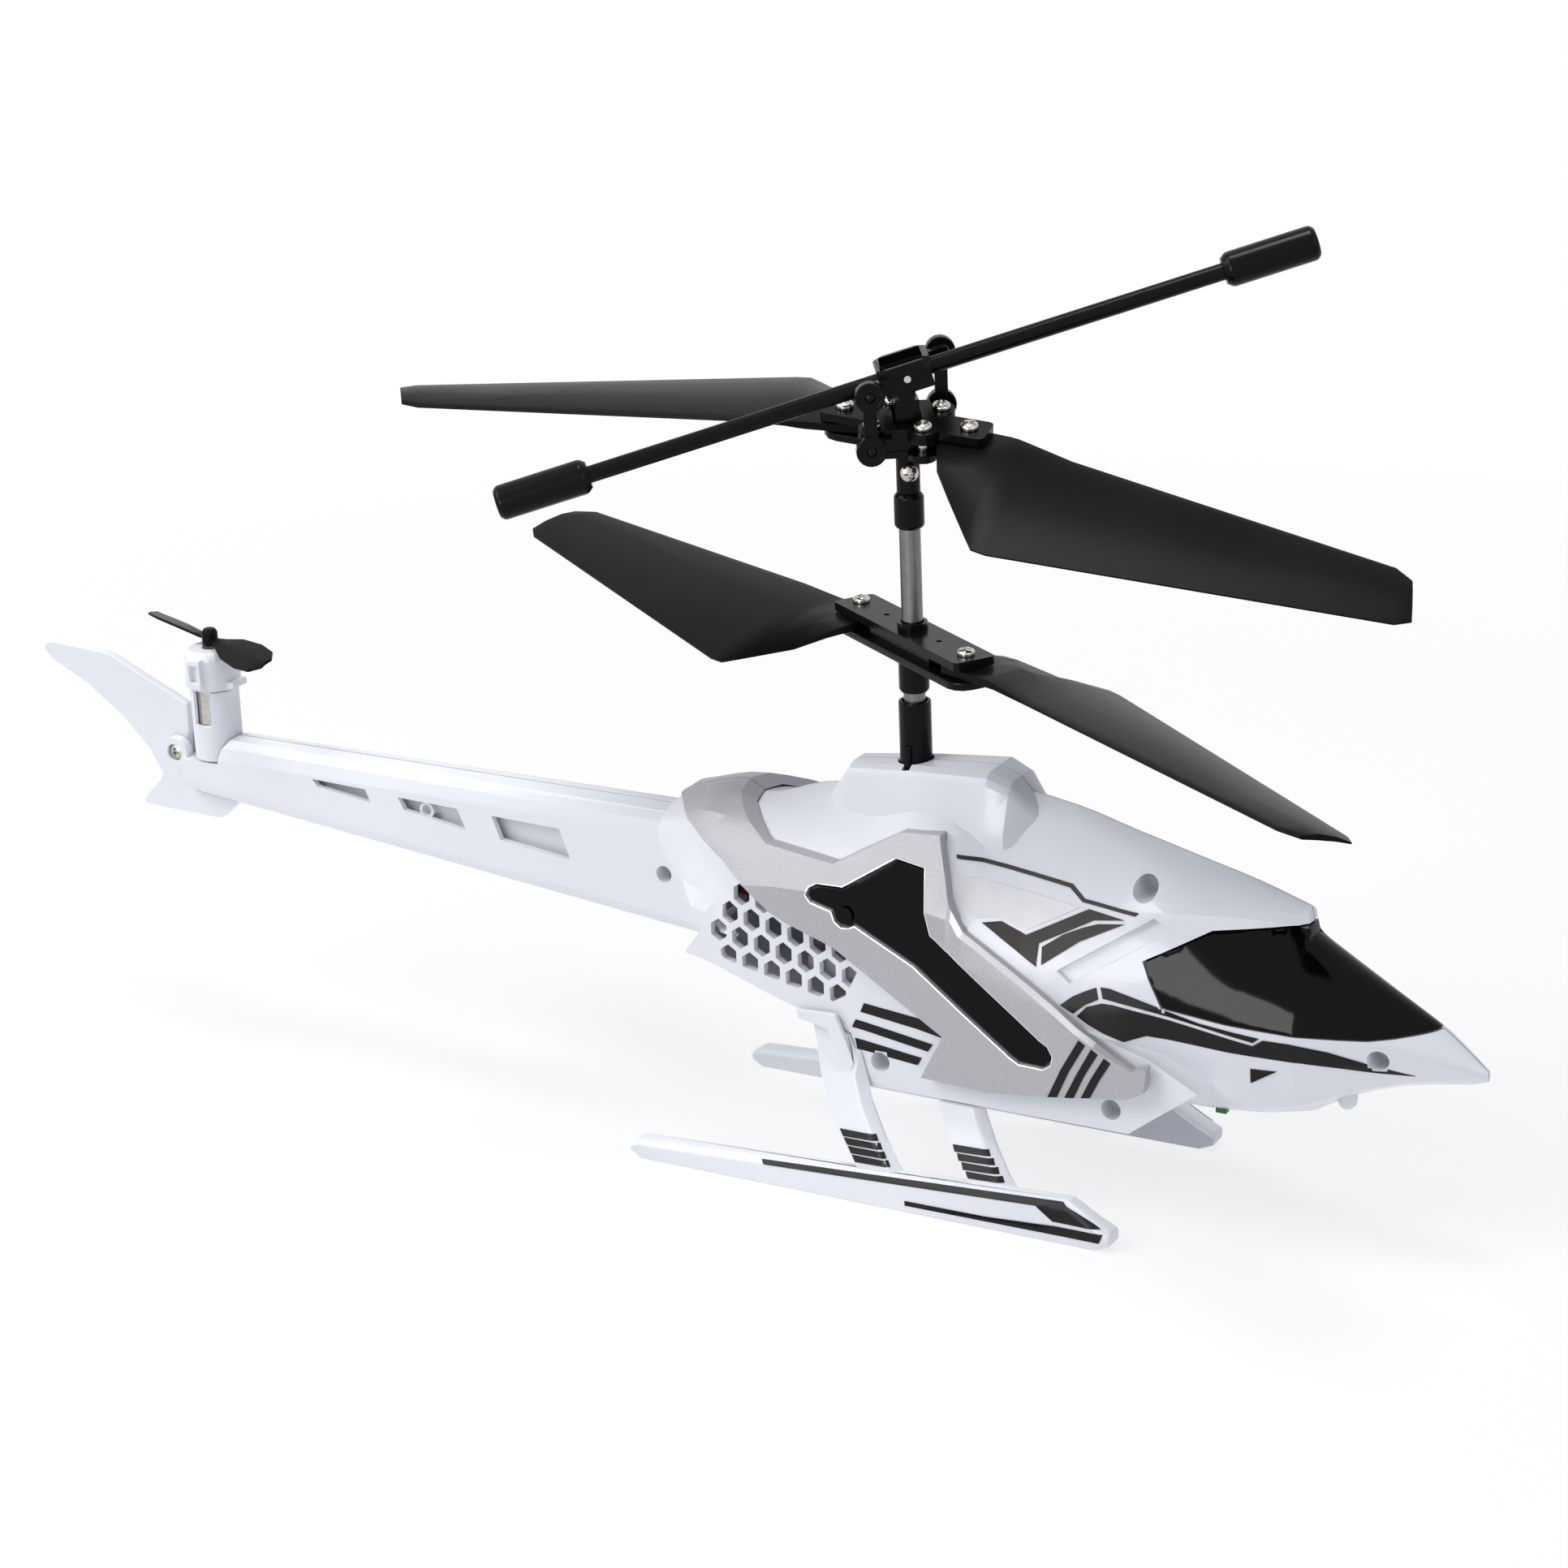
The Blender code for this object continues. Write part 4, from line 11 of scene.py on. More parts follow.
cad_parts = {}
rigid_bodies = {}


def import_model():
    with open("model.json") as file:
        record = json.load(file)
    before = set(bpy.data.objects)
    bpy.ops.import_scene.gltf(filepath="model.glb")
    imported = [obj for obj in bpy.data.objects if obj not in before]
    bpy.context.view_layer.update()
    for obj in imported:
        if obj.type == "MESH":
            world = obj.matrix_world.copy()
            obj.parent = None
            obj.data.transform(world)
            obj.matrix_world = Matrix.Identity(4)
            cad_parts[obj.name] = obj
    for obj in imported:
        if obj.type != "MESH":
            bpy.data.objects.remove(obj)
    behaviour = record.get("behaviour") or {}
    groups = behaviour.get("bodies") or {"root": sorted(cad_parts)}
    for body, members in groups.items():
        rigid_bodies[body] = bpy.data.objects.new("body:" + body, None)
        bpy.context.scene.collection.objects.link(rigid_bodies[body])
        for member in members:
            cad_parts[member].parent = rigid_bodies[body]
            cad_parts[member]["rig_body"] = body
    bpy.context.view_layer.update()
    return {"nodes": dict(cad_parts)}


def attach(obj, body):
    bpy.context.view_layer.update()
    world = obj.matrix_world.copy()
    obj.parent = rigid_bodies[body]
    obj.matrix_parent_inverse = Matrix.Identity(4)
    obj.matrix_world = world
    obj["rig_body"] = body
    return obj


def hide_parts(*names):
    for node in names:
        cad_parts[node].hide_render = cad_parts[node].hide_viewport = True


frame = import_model()

MM = 0.001
SIDES = (("right", -1), ("left", 1))
ROUND_STEPS = 28

# Camera, from the fit to the photograph
CAMERA_PLACE = Vector((0.28543, -0.47576, 0.25148))
CAMERA_RIGHT = Vector((0.87438, 0.4837, -0.03857))
CAMERA_UP = Vector((-0.13272, 0.31484, 0.93981))
CAMERA_BACK = Vector((0.46673, -0.81663, 0.3395))
PHOTO_SIZE = 1932
FOCAL_PIXELS = 5000
SENSOR_WIDTH = 36.0
CLIP_START = 0.01

# Studio, in metres and watts
LIGHT_LEVEL = 0.31
LIGHT_TINT = (0.76, 0.82, 1.0)
FLOOR_REACH = 2.0
FLOOR_COLOURS = ((0.93, 0.93, 0.935), (0.95, 0.95, 0.955))
FLOOR_GRAIN = 3
FLOOR_ROUGHNESS = 0.9
FLOOR_SPECULAR = 0.1
FLOOR_GLOW = 0.75
FLOOR_FADE = (0.18, 0.42)

# Lamps: place, target, size and power; some only show in reflections
LAMPS = {
    "top": ((0.0, 0.0, 1.1), (0.0, 0.0, 0.05), 0.3, 4.4),
    "key": ((-0.55, -0.50, 0.74), (-0.02, 0.0, 0.05), 0.7, 7.2),
    "front": ((0.80, -0.25, 0.45), (0.0, 0.0, 0.05), 0.5, 1.2),
    "card": ((-0.02, -0.72, 0.225), (0.085, 0.0, 0.04), 0.32, 3.2),
}
REFLECTED_ONLY = ("card",)

# Mesh clean-up, in metres and as shares
WELD = 2e-6
FLAT_ANGLE = math.radians(0.4)
SHARP_ANGLE = math.radians(32)
SHELL_ANGLE = math.radians(25)
SHELLS = ("right_shell", "left_shell", "right_side_panel", "left_side_panel")
ROUNDING_ROOM = 2.2
ROUNDING_STEPS = 2

# Rounded edges of the moulded pieces, in millimetres
ROUNDING = {
    "right_shell": 0.3, "left_shell": 0.3, "right_boom": 0.35, "left_boom": 0.35,
    "right_side_panel": 0.35, "left_side_panel": 0.35,
    "right_panel_insert": 0.4, "left_panel_insert": 0.4,
    "canopy_window": 0.25, "right_skid": 0.35, "left_skid": 0.35,
    "tail_fin": 0.35, "tail_motor_mount": 0.25, "tail_motor_cap": 0.25,
    "mast_sleeve": 0.2, "lower_hub": 0.25, "lower_hub_cap": 0.3, "shaft_collar": 0.15,
    "upper_hub": 0.2, "upper_grip": 0.25, "grip_base": 0.25,
    "flybar_frame": 0.3, "link_right": 0.25, "link_left": 0.25,
    "flybar_weight_right": 0.3, "flybar_weight_left": 0.3, "tail_rotor": 0.1,
    "upper_blade_right": 0.12, "upper_blade_left": 0.12,
    "lower_blade_right": 0.12, "lower_blade_left": 0.12,
    "circuit_board": 0.1, "nose_led": 0.1,
}
SMOOTH_ONLY = ("tail_motor", "tail_motor_wire", "outer_shaft", "shaft_spacer", "inner_shaft",
               "grip_pin", "flybar_pin", "flybar_rod_right", "flybar_rod_left")

# Screws, in millimetres
SCREWS = ("hub_set_screw", "grip_screw_right", "grip_screw_left", "upper_blade_screw_right",
          "upper_blade_screw_left", "lower_blade_screw_right", "lower_blade_screw_left",
          "fin_screw")
HEAD_RADIUS = 1.25
HEAD_HEIGHT = 0.9
HEAD_EDGE = 0.98
DOME_HEIGHT = HEAD_HEIGHT * 0.62
DOME_ANGLES = (0, 25, 48, 68, 84)
RIM_DROP = HEAD_HEIGHT * 0.7
SHANK_RADIUS = 0.75
RECESS_REACH = 0.78
RECESS_HALF_WIDTH = 0.19
RECESS_DEPTH = 0.5
RECESS_MOUTH = (1.15, 0.2)
RECESS_TIP = 0.6
EAR_SCREW_LENGTH = 1.9
EAR_SCREW_REACH = 1.22
EAR_SCREW_DROP = 0.4

# Blind screw holes in each half of the body and boom: X, Z and radius, in millimetres
SHELL_CUPS = ((72.4, 48.5, 1.75), (106.4, 29.2, 1.5), (70.5, 18.5, 1.5), (34.8, 19.3, 1.5))
BOOM_CUP = (-4.3, 38.9, 1.3)
CUP_WALL = 0.5
CUP_DEPTH = 2.6
CUP_SEAT = 0.6
CUP_GAP = 0.03
CUP_PROBE = 0.35

# Rotor head, in millimetres
MAST_X = 35.1
FLYBAR_Z = 116.1
FLYBAR_AZIMUTH = math.radians(32.63)
FLYBAR_TILT = math.radians(15.13)
POCKET = ((-2.9, -3.3, 1.1), (2.9, 3.3, 4.0))
BALL_RADIUS = 1.0
EYE_RADIUS = 2.1
EYE_BORE = 1.45
SOCKET_GAP = 0.08
SOCKET_HALF = 0.78
SOCKET_SINK = 0.02
SOCKET_BANDS = 3
SOCKET_STEPS = 32

# Panel edges, in millimetres
OPENING_GAP = 0.6
OPENING_BEVEL = 0.55
BROW_BEVEL = 1.0
PANEL_MERGE = 0.25
INSERT_SINK = 0.85
RIM_ANGLE = math.radians(50)
OUTWARD = 0.5
BROW_LEAN = 0.3
BROW_START = 48.0

# Evening of the canopy window
FOLD_ANGLE = math.radians(45)
WINDOW_CUTS = 3
WINDOW_PASSES = 14
WINDOW_EASE = 0.5

# Inner walls behind the grille and the boom's slots: X and Z, and distances from the middle
DIVIDER = ((-3.0, 32.5), (7.6, 32.5), (9.5, 30.0), (12.1, 29.1), (20.1, 26.4), (22.3, 25.8),
           (22.3, 46.0), (9.5, 46.0), (7.6, 45.0), (-3.0, 45.0))
DIVIDER_PLACE = (0.6, 1.4)
LINER_ENDS = ((-70.0, 1.95), (-19.0, 2.98))
LINER_HEIGHTS = (37.5, 45.0)
LINER_WALL = 0.4
POST_PLACE = (-46.6, 42.2)
POST_RADII = (1.25, 0.85)
POST_REACH = (2.3, 3.6)
BELLY_REAR, BELLY_FRONT = (3.6, 31.7), (22.3, 25.5)
BELLY_WALL = 0.55
BELLY_PLAN = ((3.6, 4.0), (7.3, 4.0), (7.6, 5.4), (8.8, 9.8), (12.0, 11.5), (22.3, 11.9))

# Printed marks: X along the model and Z up, in millimetres
PRINT_STEP = 0.5
PRINT_LIFT = 0.1
PRINT_DEPTH = 0.12
PROBE_START = 50.0
CUT_TOLERANCE = 1e-7
PANEL_MARKS = (
    ((66.7, 29.0), (67.7, 28.4), (65.2, 24.1), (63.2, 19.8), (61.8, 19.6), (63.9, 24.1)),
    ((68.6, 28.0), (69.6, 27.4), (67.5, 23.8), (65.8, 20.2), (64.4, 20.0), (66.3, 23.8)),
    ((70.5, 27.0), (71.5, 26.4), (69.8, 23.6), (68.3, 20.7), (66.9, 20.4), (68.5, 23.6)),
)
SHOULDER_MARKS = (
    ((45.8, 50.95), (62.2, 48.15), (64.3, 46.5), (72.1, 45.4), (71.7, 45.0), (64.0, 46.1),
     (61.9, 47.7), (45.9, 50.5)),
    ((50.8, 42.6), (53.4, 42.9), (57.0, 41.4), (65.1, 45.3), (70.3, 44.4), (66.1, 44.0),
     (59.0, 40.5), (59.1, 37.5)),
    ((59.5, 40.1), (62.2, 41.9), (64.8, 43.0), (66.8, 43.6), (70.4, 43.9), (67.8, 42.7),
     (64.6, 41.2), (59.8, 37.8)),
)
SHOULDER_PATCH = (
    ((46.4, 48.5), (63.8, 45.4), (56.9, 42.0), (53.3, 43.4), (49.9, 43.2), (47.8, 44.6)),
)
NOSE_MARKS = (
    ((62.9, 32.7), (64.5, 34.0), (66.4, 35.0), (67.8, 35.6), (68.2, 34.0), (66.5, 33.1),
     (64.8, 31.7)),
    ((68.4, 35.7), (69.8, 35.6), (77.2, 33.5), (77.8, 32.9), (82.2, 32.0), (82.6, 32.2),
     (90.8, 31.2), (90.0, 30.5), (68.8, 34.2)),
    ((65.3, 31.4), (66.6, 32.8), (68.7, 33.5), (70.3, 33.4), (89.9, 30.0), (91.3, 31.0),
     (94.9, 30.9), (99.9, 30.1), (110.9, 27.0), (106.2, 27.2), (96.6, 28.2), (86.1, 28.6),
     (77.4, 29.3), (74.9, 29.4), (73.3, 29.0), (71.9, 28.3), (69.2, 29.3), (66.9, 30.4)),
    ((89.4, 26.4), (93.0, 26.4), (89.2, 24.0)),
)
KEEL_MARKS = (
    ((32.6, 28.0), (43.5, 26.9), (44.7, 24.8), (40.9, 25.5), (32.0, 26.6)),
    ((31.2, 25.3), (43.3, 23.5), (42.5, 22.3), (30.6, 24.1)),
    ((31.0, 22.4), (41.5, 21.1), (40.8, 19.9), (31.3, 20.8)),
)
STRUT_BARS = (
    (((47.3, 9.9), (52.7, 10.0), (53.2, 9.3), (47.8, 9.1)), (0.93, -0.96)),
    (((30.3, 9.9), (35.8, 9.9), (36.3, 9.1), (30.9, 9.0)), (0.76, -1.08)),
)
STRUT_BAR_COUNT = 4
STRUT_MARKS = [[(x + dx * i, z + dz * i) for x, z in first]
               for first, (dx, dz) in STRUT_BARS for i in range(STRUT_BAR_COUNT)]
SKID_MARKS = (
    ((18.5, 3.7), (66.0, 6.3), (71.7, 3.4), (64.6, 3.4), (62.1, 5.3), (19.0, 3.2)),
    ((41.6, 1.9), (63.3, 2.1), (64.6, 2.7), (72.2, 2.8), (71.6, 1.4), (41.6, 1.2)),
)
PRINTS = (
    ("panel_marks", PANEL_MARKS, "side_panel", "print_black"),
    ("shoulder_marks", SHOULDER_MARKS, "shell", "print_brown"),
    ("shoulder_patch", SHOULDER_PATCH, "shell", "print_grey"),
    ("nose_marks", NOSE_MARKS, "shell", "print_black"),
    ("keel_marks", KEEL_MARKS, "shell", "print_black"),
    ("skid_marks", SKID_MARKS, "skid", "print_black"),
    ("strut_bars", STRUT_MARKS, "skid", "print_black"),
)

# Plastics: two colours, range of roughness, grain, bump and specular level
PLASTICS = {
    "white_plastic": ((0.82, 0.83, 0.86), (0.85, 0.86, 0.885), (0.26, 0.34), 500, 0.05, 0.3),
    "black_plastic": ((0.003, 0.003, 0.0035), (0.005, 0.005, 0.0055), (0.18, 0.26),
                      900, 0.10, 0.10),
    "blade_plastic": ((0.0035, 0.0035, 0.0037), (0.005, 0.005, 0.0053), (0.30, 0.36),
                      1200, 0.06, 0.06),
    "gloss_black": ((0.0010, 0.0010, 0.0012), (0.0014, 0.0014, 0.0017), (0.06, 0.11),
                    400, 0.05, 0.12),
    "gear_plastic": ((0.62, 0.60, 0.54), (0.68, 0.66, 0.60), (0.35, 0.45), 600, 0.06, 0.5),
    "board_green": ((0.010, 0.10, 0.030), (0.016, 0.15, 0.045), (0.30, 0.42), 700, 0.08, 0.5),
    "clear_lamp": ((0.75, 0.77, 0.80), (0.82, 0.84, 0.86), (0.08, 0.14), 500, 0.02, 0.5),
    "red_wire": ((0.35, 0.012, 0.012), (0.48, 0.020, 0.018), (0.40, 0.55), 800, 0.06, 0.5),
    "print_black": ((0.006, 0.005, 0.005), (0.010, 0.009, 0.009), (0.34, 0.44), 1500, 0.06, 0.2),
    "print_brown": ((0.024, 0.021, 0.018), (0.038, 0.034, 0.029), (0.40, 0.52), 2600, 0.10, 0.2),
    "print_grey": ((0.76, 0.76, 0.75), (0.80, 0.80, 0.79), (0.32, 0.42), 700, 0.05, 0.5),
    # A darker grey that paints the shade inside the body, seen through the grille
    "painted_shade_grey": ((0.30, 0.29, 0.33), (0.36, 0.35, 0.39), (0.40, 0.50), 500, 0.05, 0.5),
}
PLASTIC_IOR = 1.5
DRIFT_GRAIN = 60
SKIN_FINENESS = 4
SKIN_DEPTH = 0.05

# Metals: two colours, range of roughness, grain, bump and share of metal
METALS = {
    "silver_paint": ((0.40, 0.405, 0.415), (0.46, 0.465, 0.475), (0.42, 0.50), 3000, 0.08, 0.1),
    # A lighter, glossier copy of the silver paint for the panel's bevelled rims: a painted
    # highlight
    "silver_painted_highlight": ((0.66, 0.665, 0.675), (0.72, 0.725, 0.735), (0.30, 0.38), 3000, 0.05, 0.8),
    "steel": ((0.46, 0.43, 0.40), (0.56, 0.53, 0.49), (0.14, 0.22), 1500, 0.04, 1.0),
    "shaft_steel": ((0.15, 0.15, 0.152), (0.18, 0.18, 0.182), (0.30, 0.36), 900, 0.03, 1.0),
    "battery_foil": ((0.45, 0.45, 0.48), (0.60, 0.60, 0.63), (0.30, 0.50), 300, 0.10, 1.0),
}
GLOSS_FINENESS = 0.5
FLECK_FINENESS = 2
FLECK_DEPTH = 0.03
BUMP_DETAIL = 2.0

# Nodes whose look differs from that of their slot; the gearbox frame takes the darker grey of
# painted shade
LOOKS = {"outer_shaft": "shaft_steel", "shaft_spacer": "shaft_steel", "inner_shaft": "shaft_steel",
         "gearbox_frame": "painted_shade_grey"}


class Nodes:
    """A small helper that builds one material's node tree."""

    def __init__(self, name):
        self.material = bpy.data.materials.new(name)
        self.material.use_nodes = True
        self.tree = self.material.node_tree
        self.shader = self.tree.nodes["Principled BSDF"]
        self.coords = self.tree.nodes.new("ShaderNodeTexCoord")

    def add(self, kind, **values):
        node = self.tree.nodes.new(kind)
        for key, value in values.items():
            if hasattr(node, key):
                setattr(node, key, value)
            else:
                node.inputs[key.replace("_", " ")].default_value = value
        return node

    def link(self, out, into):
        self.tree.links.new(out, into)

    def set(self, **values):
        for key, value in values.items():
            self.shader.inputs[key.replace("_", " ")].default_value = value

    def noise(self, scale, detail=3.0):
        node = self.add("ShaderNodeTexNoise", Scale=scale, Detail=detail)
        self.link(self.coords.outputs["Object"], node.inputs["Vector"])
        return node.outputs["Fac"]

    def ramp(self, factor, low, high, start=0.3, end=0.7):
        node = self.add("ShaderNodeValToRGB")
        node.color_ramp.elements[0].position = start
        node.color_ramp.elements[1].position = end
        node.color_ramp.elements[0].color = (*low, 1)
        node.color_ramp.elements[1].color = (*high, 1)
        self.link(factor, node.inputs["Fac"])
        return node.outputs["Color"]

    def spread(self, factor, low, high):
        node = self.add("ShaderNodeMapRange")
        node.inputs["To Min"].default_value = low
        node.inputs["To Max"].default_value = high
        self.link(factor, node.inputs["Value"])
        return node.outputs["Result"]

    def bump(self, height, strength, distance):
        node = self.add("ShaderNodeBump", Strength=strength, Distance=distance)
        self.link(height, node.inputs["Height"])
        self.link(node.outputs["Normal"], self.shader.inputs["Normal"])


def plastic(name, low, high, rough, grain, bump, specular):
    """A moulded plastic: a faint drift of colour, uneven gloss and a fine moulded skin."""
    made = Nodes(name)
    made.link(made.ramp(made.noise(DRIFT_GRAIN), low, high), made.shader.inputs["Base Color"])
    made.link(made.spread(made.noise(grain), *rough), made.shader.inputs["Roughness"])
    made.bump(made.noise(grain * SKIN_FINENESS, BUMP_DETAIL), bump, SKIN_DEPTH * MM)
    made.set(IOR=PLASTIC_IOR, Specular_IOR_Level=specular)
    return made.material


def metal(name, low, high, rough, grain, bump, metallic):
    """Bare or sprayed metal: a fine fleck in its colour and gloss."""
    made = Nodes(name)
    made.link(made.ramp(made.noise(grain), low, high), made.shader.inputs["Base Color"])
    gloss = made.spread(made.noise(grain * GLOSS_FINENESS), *rough)
    made.link(gloss, made.shader.inputs["Roughness"])
    made.bump(made.noise(grain * FLECK_FINENESS, BUMP_DETAIL), bump, FLECK_DEPTH * MM)
    made.set(Metallic=metallic)
    return made.material


MATERIALS = {name: plastic(name + "_look", *row) for name, row in PLASTICS.items()}
MATERIALS.update((name, metal(name + "_look", *row)) for name, row in METALS.items())


def slot_of(node):
    return frame["nodes"][node]["slot_name"]


def side_of(node):
    return -1 if node.startswith("right") else 1


def dress_frame():
    """Every CAD node gets the finished look of its own slot."""
    for name, node in frame["nodes"].items():
        for slot in node.material_slots:
            node["slot_name"] = slot.material.name
            slot.material = MATERIALS[LOOKS.get(name, slot.material.name)]


def welded(node):
    """A copy of a CAD node's solid, with its split corners joined and its flat faces whole."""
    work = bmesh.new()
    work.from_mesh(frame["nodes"][node].data)
    bmesh.ops.remove_doubles(work, verts=work.verts, dist=WELD)
    bmesh.ops.dissolve_limit(work, angle_limit=FLAT_ANGLE, verts=work.verts, edges=work.edges)
    return work


def as_object(name, work):
    mesh = bpy.data.meshes.new(name)
    bmesh.ops.recalc_face_normals(work, faces=work.faces)
    work.to_mesh(mesh)
    work.free()
    thing = bpy.data.objects.new(name, mesh)
    bpy.context.scene.collection.objects.link(thing)
    return thing


def carved(work, tool):
    """The first solid less the second."""
    blank, cutter = as_object("blank", work), as_object("cutter", tool)
    change = blank.modifiers.new("cut", "BOOLEAN")
    change.object = cutter
    change.solver = "EXACT"
    graph = bpy.context.evaluated_depsgraph_get()
    mesh = bpy.data.meshes.new_from_object(blank.evaluated_get(graph))
    for thing in (blank, cutter):
        bpy.data.meshes.remove(thing.data)
    result = bmesh.new()
    result.from_mesh(mesh)
    bpy.data.meshes.remove(mesh)
    return result


def round_edges(work, width):
    """Rounds each sharp outer edge that has room for it."""
    room = width * ROUNDING_ROOM
    crowded = {v for e in work.edges if e.calc_length() < room for v in e.verts}
    chosen = []
    for edge in work.edges:
        if len(edge.link_faces) == 2 and edge.calc_face_angle_signed() > SHARP_ANGLE:
            if not crowded.intersection(edge.verts):
                chosen.append(edge)
    bmesh.ops.bevel(work, geom=chosen, offset=width, offset_type="OFFSET", segments=ROUNDING_STEPS,
                    profile=0.5, affect="EDGES", clamp_overlap=True)


def smooth_mesh(name, work, angle=SHARP_ANGLE):
    """The mesh, with each corner's normal shared among the faces that turn little from its own."""
    mesh = bpy.data.meshes.new(name)
    bmesh.ops.recalc_face_normals(work, faces=work.faces)
    work.to_mesh(mesh)
    work.free()
    limit = math.cos(angle)
    faces_at = [[] for _ in mesh.vertices]
    for face in mesh.polygons:
        face.use_smooth = True
        for i in face.vertices:
            faces_at[i].append(face)
    corners = []
    for face in mesh.polygons:
        for i in face.vertices:
            near = [f for f in faces_at[i] if f.normal.dot(face.normal) > limit]
            total = sum((f.normal * f.area for f in near), Vector())
            corners.append(total.normalized())
    mesh.normals_split_custom_set(corners)
    return mesh


def add_piece(name, mesh, body, material):
    mesh.materials.append(MATERIALS[material])
    piece = bpy.data.objects.new(name, mesh)
    bpy.context.scene.collection.objects.link(piece)
    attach(piece, body)
    return piece


def dress_node(node, width):
    """Stands a smooth, round-edged copy in a CAD node's place."""
    work = welded(node)
    if node.endswith("_side_panel"):
        shape_panel(work, node)
    if node.endswith("_panel_insert"):
        sink = (0, -side_of(node) * INSERT_SINK * MM, 0)
        bmesh.ops.translate(work, verts=work.verts, vec=sink)
    if node == "canopy_window":
        even_window(work)
    if node == "flybar_frame":
        work = carved(work, pocket_work())
    if width:
        round_edges(work, width * MM)
    mesh = smooth_mesh(node + "_look", work, SHELL_ANGLE if node in SHELLS else SHARP_ANGLE)
    look = LOOKS.get(node, slot_of(node))
    piece = add_piece(node + "_look", mesh, frame["nodes"][node]["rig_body"], look)
    if node.endswith("_side_panel"):
        # Second slot: the lighter silver that paints a highlight on the rim bevels
        mesh.materials.append(MATERIALS["silver_painted_highlight"])
    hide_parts(node)
    DRESSED[node] = piece


def shape_panel(work, node):
    """Bevels the rim of the panel's opening, and more broadly its upper front edge; the bevels take
    the panel's second slot, a lighter silver that paints a highlight.
    """
    side = side_of(node)
    insert = skin_of(frame["nodes"][node.replace("side_panel", "panel_insert")])
    bmesh.ops.remove_doubles(work, verts=work.verts, dist=PANEL_MERGE * MM)
    rim, brow = [], []
    for edge in work.edges:
        if len(edge.link_faces) != 2 or edge.calc_face_angle_signed() < RIM_ANGLE:
            continue
        outer, wall = sorted(edge.link_faces, key=lambda f: -f.normal.y * side)
        if outer.normal.y * side < OUTWARD:
            continue
        middle = (edge.verts[0].co + edge.verts[1].co) / 2
        if insert.find_nearest(middle)[3] < OPENING_GAP * MM:
            rim.append(edge)
        elif min(wall.normal.x, wall.normal.z) > BROW_LEAN and middle.x > BROW_START * MM:
            brow.append(edge)
    for edges, width, steps in ((brow, BROW_BEVEL, 1), (rim, OPENING_BEVEL, 2)):
        edges = [e for e in edges if e.is_valid]
        bmesh.ops.bevel(work, geom=edges, offset=width * MM, offset_type="OFFSET", segments=steps,
                        profile=0.5, affect="EDGES", clamp_overlap=True, material=1)


def skin_region(work):
    """The faces of the window's outer skin, out to its folded rim."""
    right = [f for f in work.faces if f.calc_center_median().y < 0]
    start = max(right, key=lambda f: -f.normal.y * f.calc_area())
    region, waiting = {start}, [start]
    while waiting:
        face = waiting.pop()
        for edge in face.edges:
            for other in edge.link_faces:
                if other not in region and face.normal.angle(other.normal, math.pi) < FOLD_ANGLE:
                    region.add(other)
                    waiting.append(other)
    return region


def even_window(work):
    """Cuts the window's outer skin finer and evens it into one curve."""
    bmesh.ops.triangulate(work, faces=work.faces)
    edges = list({e for f in skin_region(work) for e in f.edges})
    bmesh.ops.subdivide_edges(work, edges=edges, cuts=WINDOW_CUTS, use_grid_fill=True)
    bmesh.ops.recalc_face_normals(work, faces=work.faces)
    region = skin_region(work)
    inner = [v for v in {v for f in region for v in f.verts} if region.issuperset(v.link_faces)]
    for _ in range(WINDOW_PASSES):
        bmesh.ops.smooth_vert(work, verts=inner, factor=WINDOW_EASE,
                              use_axis_x=True, use_axis_y=True, use_axis_z=True)


def pocket_work():
    """The hollow in the top of the flybar's frame."""
    low, high = Vector(POCKET[0]), Vector(POCKET[1])
    work = bmesh.new()
    bmesh.ops.create_cube(work, size=1)
    place = (Matrix.Scale(MM, 4) @ Matrix.Translation((MAST_X, 0, FLYBAR_Z))
             @ Matrix.Rotation(FLYBAR_AZIMUTH, 4, "Z") @ Matrix.Rotation(-FLYBAR_TILT, 4, "Y")
             @ Matrix.Translation((low + high) / 2) @ Matrix.Diagonal((*(high - low), 1)))
    bmesh.ops.transform(work, matrix=place, verts=work.verts)
    return work


def even_turns(steps=ROUND_STEPS):
    """Angles that divide a circle evenly."""
    return [math.tau * i / steps for i in range(steps)]


def turned(profile):
    """A closed solid turned about Z from (radius, Z) points, its ends on the axis."""
    work = bmesh.new()
    rings = []
    for radius, z in profile:
        if radius == 0:
            rings.append([work.verts.new((0, 0, z))])
        else:
            points = [(radius * math.cos(t), radius * math.sin(t), z) for t in even_turns()]
            rings.append([work.verts.new(p) for p in points])
    for low, high in zip(rings, rings[1:]):
        for i in range(ROUND_STEPS):
            j = (i + 1) % ROUND_STEPS
            corners = [low[i % len(low)], low[j % len(low)],
                       high[j % len(high)], high[i % len(high)]]
            work.faces.new(list(dict.fromkeys(corners)))
    return work


def walls(work, low, high):
    """Joins two closed rings of corners."""
    count = len(low)
    for i in range(count):
        j = (i + 1) % count
        work.faces.new((low[i], low[j], high[j], high[i]))


def cross_cutter():
    """The tapered cross of a screwdriver's tip, its mouth just above the head's top at Z 0."""
    arm = RECESS_HALF_WIDTH
    reach = RECESS_REACH
    outline = []
    for i in range(4):
        turn = Matrix.Rotation(-math.pi / 2 * i, 2)
        outline += [turn @ Vector(p) for p in ((arm, arm), (reach, arm), (reach, -arm))]
    work = bmesh.new()
    rings = []
    for share, z in (RECESS_MOUTH, (RECESS_TIP, -RECESS_DEPTH)):
        rings.append([work.verts.new((p.x * share, p.y * share, z)) for p in outline])
    work.faces.new(rings[0])
    work.faces.new(rings[1][::-1])
    walls(work, rings[1], rings[0])
    return work


